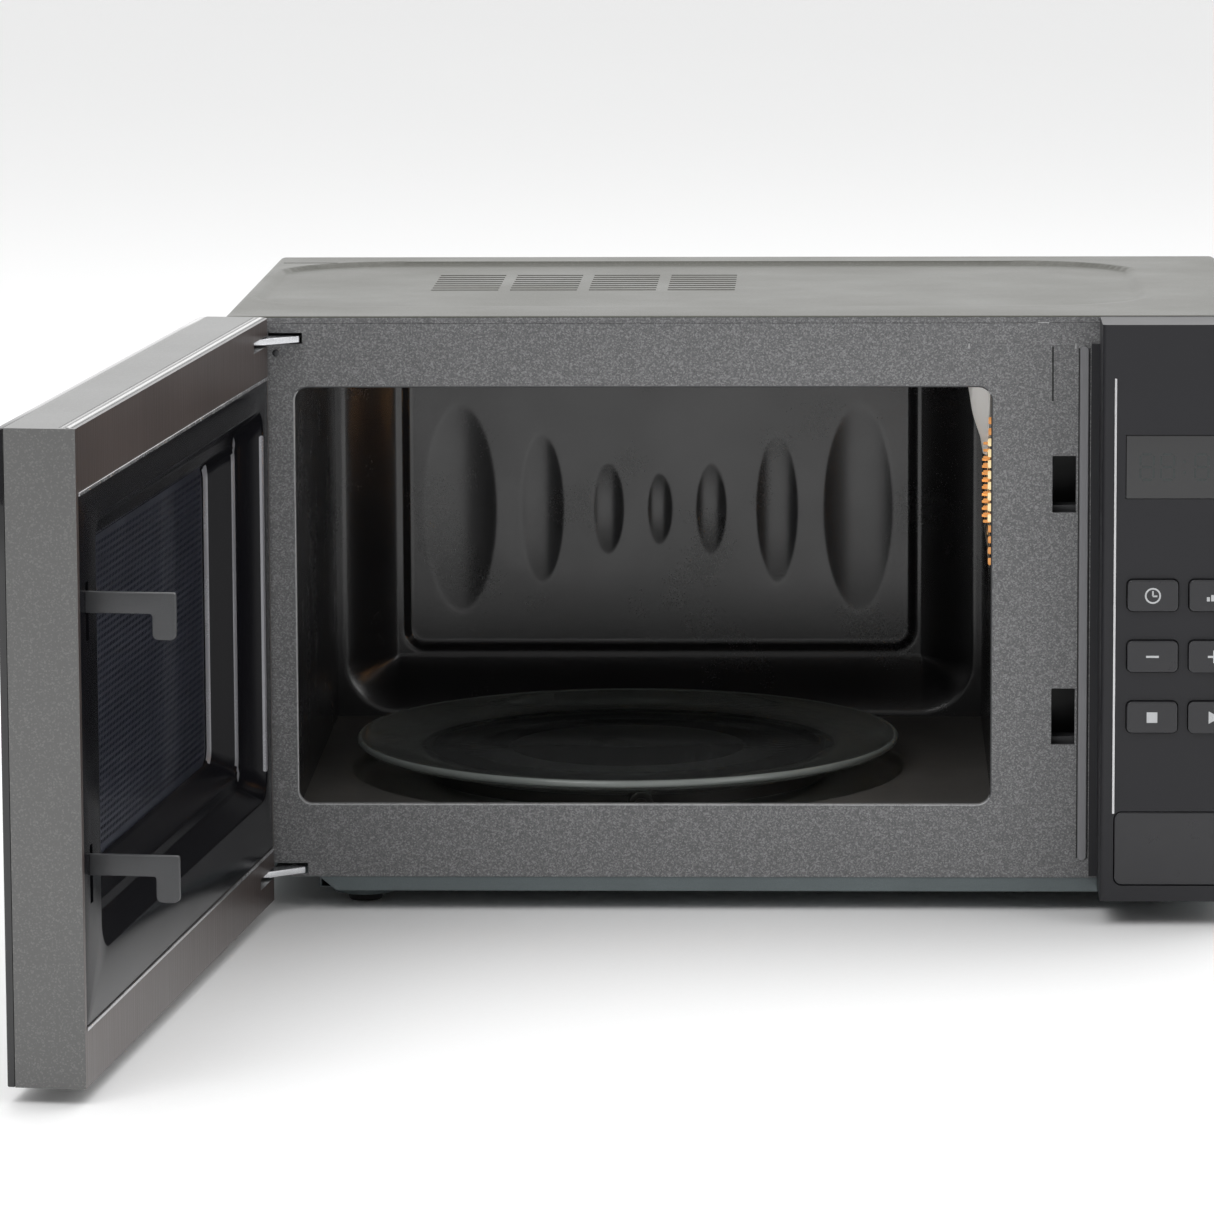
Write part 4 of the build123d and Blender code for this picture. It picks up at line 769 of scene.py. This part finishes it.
plate = lathe("turntable_glass", [(r, glass_z0 + z) for r, z in profile], (table_x, table_y), 200, 50)
plate.data.materials.append(finish["table_glass"])
plate.data.materials.append(plate_rim)
plate.data.materials.append(plate_edge_highlight)
# Faces past the flat take the rim glass, and the outermost ones the painted edge highlight.
for face in plate.data.polygons:
    radius = math.hypot(face.center.x / MM - table_x, face.center.y / MM - table_y)
    face.material_index = (radius > flat) + (radius > plate_r - 2.0)
settle(plate, ["glass_plate"])
softened("roller_ring", 0.8)
softened("drive_coupler", 0.7)
for number in range(1, 4):
    softened(f"roller_{number}", 0.9)

# ---------------------------------------------------------------- door
DOOR_OPEN = math.radians(96.5)
HOOK_S, HOOK_UP = 397.5, (94.75, 206.5)
door_s_dir = Vector((math.cos(DOOR_OPEN), -math.sin(DOOR_OPEN), 0))
door_out = Vector((-math.sin(DOOR_OPEN), -math.cos(DOOR_OPEN), 0))
pin_box = spans("hinge_pins")
pivot = Vector((sum(pin_box[0]) / 2, sum(pin_box[1]) / 2, 0))
corner = pivot - door_s_dir * 11 - door_out * 11
DOOR_WIDTH, DOOR_THICK = 414.5, 34.0
door_z0, door_z1 = spans("door_frame")[2]


def on_door(s, up, depth):
    """A point of the open door: s from the hinge edge, up, and depth from the inner face."""
    return corner + door_s_dir * s + door_out * depth + Vector((0, 0, up))


def door_spans(node):
    """A door node's (low, high) pairs in s, up and depth, in millimetres."""
    places = [Vector(v.co) / MM - corner for v in frame["nodes"][node].data.vertices]
    out = []
    for axis in (door_s_dir, Vector((0, 0, 1)), door_out):
        along = [place.dot(axis) for place in places]
        out.append((min(along), max(along)))
    return out


door_body = softened("door_frame", 0.9, 3)
door_body.data.materials.append(edge_paint)
for face in door_body.data.polygons:
    if face.normal.dot(door_out) > -0.4:
        face.material_index = 1
softened("hinge_plates", 0.4)
softened("hinge_pins", 0.4)


def top_line(name, depth, width, rise, material):
    """A long low line along the door's top, near its inner edge."""
    points = []
    for s in (3.0, DOOR_WIDTH - 3.0):
        for i in range(5):
            turn = math.pi * i / 4
            up = door_z1 - 0.1 + rise * math.sin(turn)
            points.append(on_door(s, up, depth - width / 2 * math.cos(turn)))
    settle(make(name, points, grid_faces(2, 5), 60), [], material, "door", "door_plastic")


top_line("door_line_dark", 7.6, 0.8, 0.12, shadow_line)
top_line("door_line_light", 6.4, 0.6, 0.16, bead_silver)
top_line("door_line_bright", 3.9, 1.9, 0.3, bead_silver)
top_line("door_line_gap", 2.0, 1.1, 0.12, shadow_line)

DISH_S, DISH_UP = (21.0, 378.0), (60.0, 245.0)
LEDGE_S, LEDGE_UP = (35.0, 364.0), (68.4, 236.6)
INNER_S, INNER_UP = (40.0, 359.0), (73.4, 231.6)
PANE_S, PANE_UP = (54.0, 345.0), (81.8, 223.2)


def build_glass():
    """The door's outer glass: a printed black border round a tinted window."""
    margin = 3.0
    ss = [0.0, PANE_S[0] - margin, PANE_S[1] + margin, DOOR_WIDTH]
    ups = [door_z0, PANE_UP[0] - margin, PANE_UP[1] + margin, door_z1]
    depths = (DOOR_THICK - 3.5, DOOR_THICK)
    points = [on_door(s, u, d) for d in depths for u in ups for s in ss]
    faces = []
    for d in range(2):
        faces += grid_faces(4, 4, start=16 * d)
    ring = [0, 1, 2, 3, 7, 11, 15, 14, 13, 12, 8, 4]
    for a, b in zip(ring, ring[1:] + ring[:1]):
        faces.append((a, b, b + 16, a + 16))
    glass = make("door_outer_glass", points, faces, 35, bevel=0.8)
    glass.data.materials.append(finish["dark_glass"])
    glass.data.materials.append(tinted)
    for face in glass.data.polygons:
        middle = Vector(face.center) / MM - corner
        s, up = middle.dot(door_s_dir), middle.z
        inside = ss[1] - 1 < s < ss[2] + 1 and ups[1] - 1 < up < ups[2] + 1
        face.material_index = 1 if inside and face.area > 1e-3 else 0
    settle(glass, ["door_glass"])


build_glass()


def build_inner_cover():
    """The inner cover: flat rim, two sloping steps with a ledge between, and the latch openings."""
    wall = 2.4
    (s0, s1), (u0, u1), _ = door_spans("choke_cover")
    steps = 12
    # Bends on the hinge side whose faces take a lighter paint, in imitation of a highlight.
    gleams = ((DISH_S[0], 2.2, -0.2, 1.3), (INNER_S[0], 1.6, 9.9, 11.6), (PANE_S[0], 2.6, 19.5, 22.1))
    rings = [
        (DISH_S, DISH_UP, 14.0, 0.0, -2.0),
        (DISH_S, DISH_UP, 12.6, 0.15, -1.0),
        (DISH_S, DISH_UP, 12.0, 0.7, -0.2),
        (DISH_S, DISH_UP, 12.0, 1.6, 0.7),
        (DISH_S, DISH_UP, 11.5, 5.0, 5.4),
        (LEDGE_S, LEDGE_UP, 10.5, 8.6, -3.4),
        (LEDGE_S, LEDGE_UP, 10.0, 9.6, -1.2),
        (LEDGE_S, LEDGE_UP, 10.0, 10.0, 0.8),
        (INNER_S, INNER_UP, 9.5, 10.0, -1.4),
        (INNER_S, INNER_UP, 9.0, 10.3, -0.2),
        (INNER_S, INNER_UP, 9.0, 11.2, 1.0),
        (INNER_S, INNER_UP, 8.5, 15.5, 6.0),
        (PANE_S, PANE_UP, 8.0, 20.4, -2.4),
        (PANE_S, PANE_UP, 8.0, 21.4, -1.0),
        (PANE_S, PANE_UP, 8.0, 22.0, 0.4),
    ]
    points = []
    for (a, b), (c, d), radius, depth, shift in rings:
        rise = shift * 0.6
        for s, up, _, _ in rounded_loop(a + shift, b - shift, c + rise, d - rise, radius, steps):
            points.append(on_door(s, up, depth))
    count = 4 * (steps + 1)
    faces = grid_faces(len(rings), count, True)
    # The rim: out from the first ring to a rounded rectangle, then over its edge.
    start = len(points)
    outer = [(0.6, 0.0), (0.1, 0.15), (0.0, 0.6), (0.0, wall)]
    for shift, depth in outer:
        for s, up, _, _ in rounded_loop(s0 + shift, s1 - shift, u0 + shift, u1 - shift, 2.5, steps):
            points.append(on_door(s, up, depth))
    faces += grid_faces(len(outer), count, True, start)
    faces += band(0, start, count)
    cover = make("door_inner_cover", points, faces, 50)
    shelled(cover, door_out, 1.2)
    # Openings for the two hooks, a little wider than the hooks and high enough for their travel.
    s_low, s_high = HOOK_S - 2.6, HOOK_S + 2.6
    sides = [(0, 1, 2, 3), (4, 5, 6, 7), (0, 1, 5, 4), (1, 2, 6, 5), (2, 3, 7, 6), (3, 0, 4, 7)]
    for number, z in enumerate(HOOK_UP, start=1):
        opening = ((s_low, z - 11), (s_high, z - 11), (s_high, z + 14), (s_low, z + 14))
        bar = [on_door(s, up, d) for d in (-3, 6) for s, up in opening]
        cutter = make(f"cutter_{number}", bar, sides)
        cut = cover.modifiers.new("cut", "BOOLEAN")
        cut.operation, cut.object, cut.solver = "DIFFERENCE", cutter, "EXACT"
        applied(cover)
        bpy.data.objects.remove(cutter)
    smooth(cover.data, 50)
    cover.data.materials.append(finish["gloss_black"])
    cover.data.materials.append(edge_gleam)
    for face in cover.data.polygons:
        place = Vector(face.center) / MM - corner
        s, up, depth = place.dot(door_s_dir), place.z, place.dot(door_out)
        upright = DISH_UP[0] + 12 < up < DISH_UP[1] - 12
        near = any(abs(s - at) < wide and low < depth < high for at, wide, low, high in gleams)
        if upright and near and face.normal.dot(door_out) < 0.2:
            face.material_index = 1
    settle(cover, ["choke_cover"])


build_inner_cover()
softened("window_film", 0.1)


def build_screen():
    """The screen behind the recess: a sheet with a fine square field of round holes."""
    pitch, radius, sheet = 3.0, 1.05, 0.6
    depth = 22.85
    columns, rows = int((PANE_S[1] - PANE_S[0] - 6) // pitch), int((PANE_UP[1] - PANE_UP[0] - 6) // pitch)
    s_mid, u_mid = sum(PANE_S) / 2, sum(PANE_UP) / 2
    s_start, u_start = s_mid - columns * pitch / 2, u_mid - rows * pitch / 2
    ring = [(math.cos(math.pi * k / 4) * radius, math.sin(math.pi * k / 4) * radius) for k in range(8)]
    square = [(0.5, 0), (0.5, 0.5), (0, 0.5), (-0.5, 0.5), (-0.5, 0), (-0.5, -0.5), (0, -0.5), (0.5, -0.5)]
    points, faces = [], []
    for d in (depth, depth + sheet):
        for r in range(rows):
            for c in range(columns):
                s, up = s_start + (c + 0.5) * pitch, u_start + (r + 0.5) * pitch
                start = len(points)
                points += [on_door(s + x * pitch, up + y * pitch, d) for x, y in square]
                points += [on_door(s + x, up + y, d) for x, y in ring]
                faces += band(start, start + 8, 8)
    half = len(points) // 2
    for cell in range(rows * columns):
        start = cell * 16 + 8
        faces += band(start, half + start, 8)
    s_end, u_end = s_start + columns * pitch, u_start + rows * pitch
    base = len(points)
    outer = ((22.5, 61.5), (376.5, 61.5), (376.5, 243.5), (22.5, 243.5))
    inner = ((s_start, u_start), (s_end, u_start), (s_end, u_end), (s_start, u_end))
    for d in (depth, depth + sheet):
        points += [on_door(s, up, d) for s, up in outer + inner]
    for first in (base, base + 8):
        faces += band(first, first + 4, 4)
    faces += band(base, base + 8, 4)
    settle(make("door_screen_sheet", points, faces, 40), ["door_screen"])


build_screen()
softened("inner_trim_lines", 0.35)


def build_latch_key():
    """The sliding bar inside the door with its two hooks, their corners rounded in outline."""
    reach, height, bar, tooth, thick = 38.0, 20.0, 9.0, 10.0, 3.0
    (_, s1), (u0, u1), (_, d1) = door_spans("latch_key")

    def arc(cd, cu, radius, start, end):
        return [
            (cd + radius * math.cos(math.radians(a)), cu + radius * math.sin(math.radians(a)))
            for a in (start + (end - start) * i / 5 for i in range(6))
        ]

    points, faces = [], []
    outlines = [[(10.0, u0), (d1, u0), (d1, u1), (10.0, u1)]]
    for z in HOOK_UP:
        low, top = z - height / 2, z + height / 2
        outlines.append(
            [(10.2, top - bar)]
            + arc(-reach + tooth + 1.2, top - bar - 1.2, 1.2, 90, 180)
            + arc(-reach + tooth - 2.4, low + 2.4, 2.4, 0, -90)
            + arc(-reach + 2.4, low + 2.4, 2.4, 270, 180)
            + arc(-reach + 1.2, top - 1.2, 1.2, 180, 90)
            + [(10.2, top)]
        )
    for outline in outlines:
        start, count = len(points), len(outline)
        points += [on_door(s, up, depth) for s in (s1 - thick, s1) for depth, up in outline]
        faces += [tuple(range(start, start + count)), tuple(range(start + count, start + 2 * count))]
        faces += band(start, start + count, count)
    settle(make("latch_hooks", points, faces, 35, bevel=0.45), ["latch_key"])


build_latch_key()
spring = spans("latch_spring")
helix_start = Vector((sum(spring[0]) / 2, sum(spring[1]) / 2, spring[2][0]))
key_spring = helix("key_spring", helix_start, Vector((0, 0, 1)), spring[2][1] - spring[2][0], 1.9, 0.4, 7)
settle(key_spring, ["latch_spring"])

# ---------------------------------------------------------------- control panel
softened("control_panel", 0.8, 3, panel_satin)
softened("panel_accent_line", 0.25)
softened("display_window", 0.4)
softened("open_button", 0.5)
for number in range(1, 7):
    softened(f"key_{number}", 0.7, 3)
softened("slot_trim_strip", 0.4, 3, strip_satin)
strip_x, _, strip_z = spans("slot_trim_strip")
for number, x in enumerate((strip_x[0] - 0.35, strip_x[1] + 0.4), start=1):
    upright = [(x, strip_z[0] + 1), (x, strip_z[1] - 1)]
    bead(f"strip_shade_{number}", upright, 0.35, 0.1, shadow_line, "plate_paint")
box = spans("button_spring")
coil_start = Vector((sum(box[0]) / 2, box[1][0] + 0.7, sum(box[2]) / 2))
coil_length = box[1][1] - coil_start.y
return_spring = helix("return_spring", coil_start, Vector((0, 1, 0)), coil_length, 8.4, 0.45, 6)
settle(return_spring, ["button_spring"])
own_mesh(return_spring)


def plaque(name, shapes, y, material, slot, body, rise=0.12):
    """Thin printed shapes, each a list of (x, z) corners, standing a little in front of y."""
    points, faces = [], []
    for shape in shapes:
        start, count = len(points), len(shape)
        points += [(x, y + 0.03, z) for x, z in shape] + [(x, y - rise, z) for x, z in shape]
        faces += [tuple(range(start, start + count)), tuple(range(start + count, start + 2 * count))]
        faces += band(start, start + count, count)
    return settle(make(name, points, faces, 30), [], material, body, slot)


def ring_shapes(cx, cz, radius, width, steps=20):
    shapes = []
    for i in range(steps):
        a, b = 2 * math.pi * i / steps, 2 * math.pi * (i + 1) / steps
        shapes.append([
            (cx + (radius + e) * math.cos(t), cz + (radius + e) * math.sin(t))
            for t, e in ((a, 0), (b, 0), (b, width), (a, width))
        ])
    return shapes


def rect(cx, cz, w, h):
    left, right, low, high = cx - w / 2, cx + w / 2, cz - h / 2, cz + h / 2
    return [(left, low), (right, low), (right, high), (left, high)]


def marks():
    """A plain symbol on each key: minus, plus, stop, start, clock and power steps."""
    for number in range(1, 7):
        (x0, x1), (y0, _), (z0, z1) = spans(f"key_{number}")
        x, z = (x0 + x1) / 2, (z0 + z1) / 2
        shapes = {
            1: [rect(x, z, 5, 5)],
            2: [[(x - 2.4, z - 3), (x + 3.2, z), (x - 2.4, z + 3)]],
            3: [rect(x, z, 6, 1)],
            4: [rect(x, z, 6, 1), rect(x, z + 1.75, 1, 2.5), rect(x, z - 1.75, 1, 2.5)],
            5: ring_shapes(x, z, 3.0, 0.8) + [rect(x, z + 1.1, 0.8, 2.4), rect(x + 1.0, z - 0.2, 2.2, 0.8)],
            6: [rect(x - 3 + 2 * step, z - 1.6 + step / 2, 1.4, 2 + step) for step in range(4)],
        }[number]
        plaque(f"key_mark_{number}", shapes, y0, printed, "bright_trim", f"key_{number}")


marks()
(dx0, dx1), (dy0, _), (dz0, dz1) = spans("display_window")


def segments():
    shapes = []
    middle = (dx0 + dx1) / 2
    z, w, h, t = (dz0 + dz1) / 2, 6.2, 12.0, 1.1
    for offset in (-17.6, -8.0, 8.0, 17.6):
        x = middle + offset
        for level in (-h / 2, 0, h / 2):
            shapes.append(rect(x, z + level, w - 1.6, t))
        for side in (-w / 2, w / 2):
            for level in (-h / 4, h / 4):
                shapes.append(rect(x + side, z + level, t, h / 2 - 1.5))
    shapes += [rect(middle, z - 2.6, 1.3, 1.3), rect(middle, z + 2.6, 1.3, 1.3)]
    return shapes


plaque("display_segments", segments(), dy0, faint, "dark_glass", "cabinet", 0.06)

# ---------------------------------------------------------------- back, base and inside
softened("base_pan", 0.5)
softened("feet", 1.2, 3)
softened("rear_panel", 0.3)
softened("cord_bush", 1.0, 3)


def build_screws():
    """Pan-head screws with a cross recess."""
    (x0, x1), (y0, y1), (z0, z1) = spans("cabinet_screws")
    radius, height, count = 3.4, y1 - y0, 26
    points, faces = [], []
    zs = (z0 + radius, z0 + radius + 110, z1 - radius)
    for x in (x0 + radius, x1 - radius):
        for z in zs:
            start = len(points)
            twist = draw.uniform(0, math.pi / 2)
            for j in range(count + 1):
                for i in range(count + 1):
                    u, v = 2 * i / count - 1, 2 * j / count - 1
                    px = u * math.sqrt(1 - v * v / 2) * radius
                    pz = v * math.sqrt(1 - u * u / 2) * radius
                    r = math.hypot(px, pz) / radius
                    rise = height * (1 - 0.25 * r * r) * (1 - smoothstep(0.9, 1.0, r) * 0.75)
                    qx = px * math.cos(twist) + pz * math.sin(twist)
                    qz = pz * math.cos(twist) - px * math.sin(twist)
                    arm = max(
                        smoothstep(0.75, 0.45, abs(qx)) * smoothstep(2.2, 1.6, abs(qz)),
                        smoothstep(0.75, 0.45, abs(qz)) * smoothstep(2.2, 1.6, abs(qx)),
                    )
                    points.append((x + px, y0 + rise - 1.1 * arm, z + pz))
            faces += grid_faces(count + 1, count + 1, start=start)
    settle(make("cover_screws", points, faces, 50), ["cabinet_screws"])


build_screws()
for node, width in (
    ("waveguide", 0.5), ("magnetron_yoke", 0.5), ("magnetron_core", 0.2), ("transformer_core", 0.6),
    ("transformer_coils", 2.0), ("hv_capacitor", 1.2), ("hv_diode", 0.6), ("fan_duct", 0.4),
    ("fan_motor", 0.6), ("fan_blade", 0.4), ("lamp_holder", 0.4), ("turntable_motor", 0.6),
    ("filter_board", 0.3), ("thermal_cutout", 0.4), ("control_board", 0.3), ("latch_board", 0.4),
    ("micro_switches", 0.5), ("release_lever", 0.5), ("lamp_bulb", 0.5),
):
    softened(node, width)

# ---------------------------------------------------------------- floor, light and camera
floor_shade = Shade("pale floor", (0.97, 0.97, 0.97), 0.6).dress(0.01, 900, 3, 0.02)
half = 16.0
ground = bpy.data.meshes.new("ground")
corners = [(-half, -half, 0), (half, -half, 0), (half, half, 0), (-half, half, 0)]
ground.from_pydata(corners, [], [(0, 1, 2, 3)])
ground.materials.append(floor_shade)
ground = bpy.data.objects.new("ground", ground)
scene.collection.objects.link(ground)

world = bpy.data.worlds.new("studio")
scene.world = world
world.use_nodes = True
sky = world.node_tree
where = sky.nodes.new("ShaderNodeTexCoord")
split = sky.nodes.new("ShaderNodeSeparateXYZ")
level = sky.nodes.new("ShaderNodeMapRange")
for key, value in (("From Min", -0.9), ("From Max", 0.6), ("To Min", 0.24), ("To Max", 1.2)):
    level.inputs[key].default_value = value
sky.links.new(where.outputs["Generated"], split.inputs[0])
sky.links.new(split.outputs["Y"], level.inputs["Value"])
sky.links.new(level.outputs["Result"], sky.nodes["Background"].inputs["Strength"])
sky.nodes["Background"].inputs["Color"].default_value = (1, 1, 1, 1)


def softbox(name, place, target, size, power):
    light = bpy.data.lights.new(name, "AREA")
    light.shape, light.size, light.size_y = "RECTANGLE", size[0], size[1]
    light.energy = power
    lamp = bpy.data.objects.new(name, light)
    scene.collection.objects.link(lamp)
    lamp.location = place
    lamp.rotation_euler = (Vector(target) - Vector(place)).to_track_quat("-Z", "Y").to_euler()


softbox("key_light", (-0.9, -1.9, 2.3), (0, 0, 0.1), (1.6, 1.6), 26)
softbox("top_light", (0.4, 0.8, 2.4), (0, 0.2, 0.1), (2.6, 2.2), 34)
softbox("fill_light", (1.9, -1.7, 1.1), (0, 0, 0.15), (1.2, 1.4), 8)

camera_data = bpy.data.cameras.new("camera")
camera_data.sensor_fit = "HORIZONTAL"
camera_data.sensor_width = 36.0
camera_data.lens = 201.35
camera_data.clip_end = 100.0
camera = bpy.data.objects.new("camera", camera_data)
scene.collection.objects.link(camera)
pitch, yaw, roll = math.radians(8.89), math.radians(1.95), math.radians(-0.28)
ahead_is_z = Matrix(((1, 0, 0), (0, 0, -1), (0, 1, 0)))
to_view = (
    Matrix.Rotation(roll, 3, "Z") @ Matrix.Rotation(pitch, 3, "X") @ Matrix.Rotation(yaw, 3, "Y") @ ahead_is_z
)
turned = Matrix((to_view[0], -to_view[1], -to_view[2])).transposed()
camera.matrix_world = Matrix.Translation((0.04654, -3.36163, 0.64769)) @ turned.to_4x4()
scene.camera = camera
scene.view_settings.view_transform = "Standard"
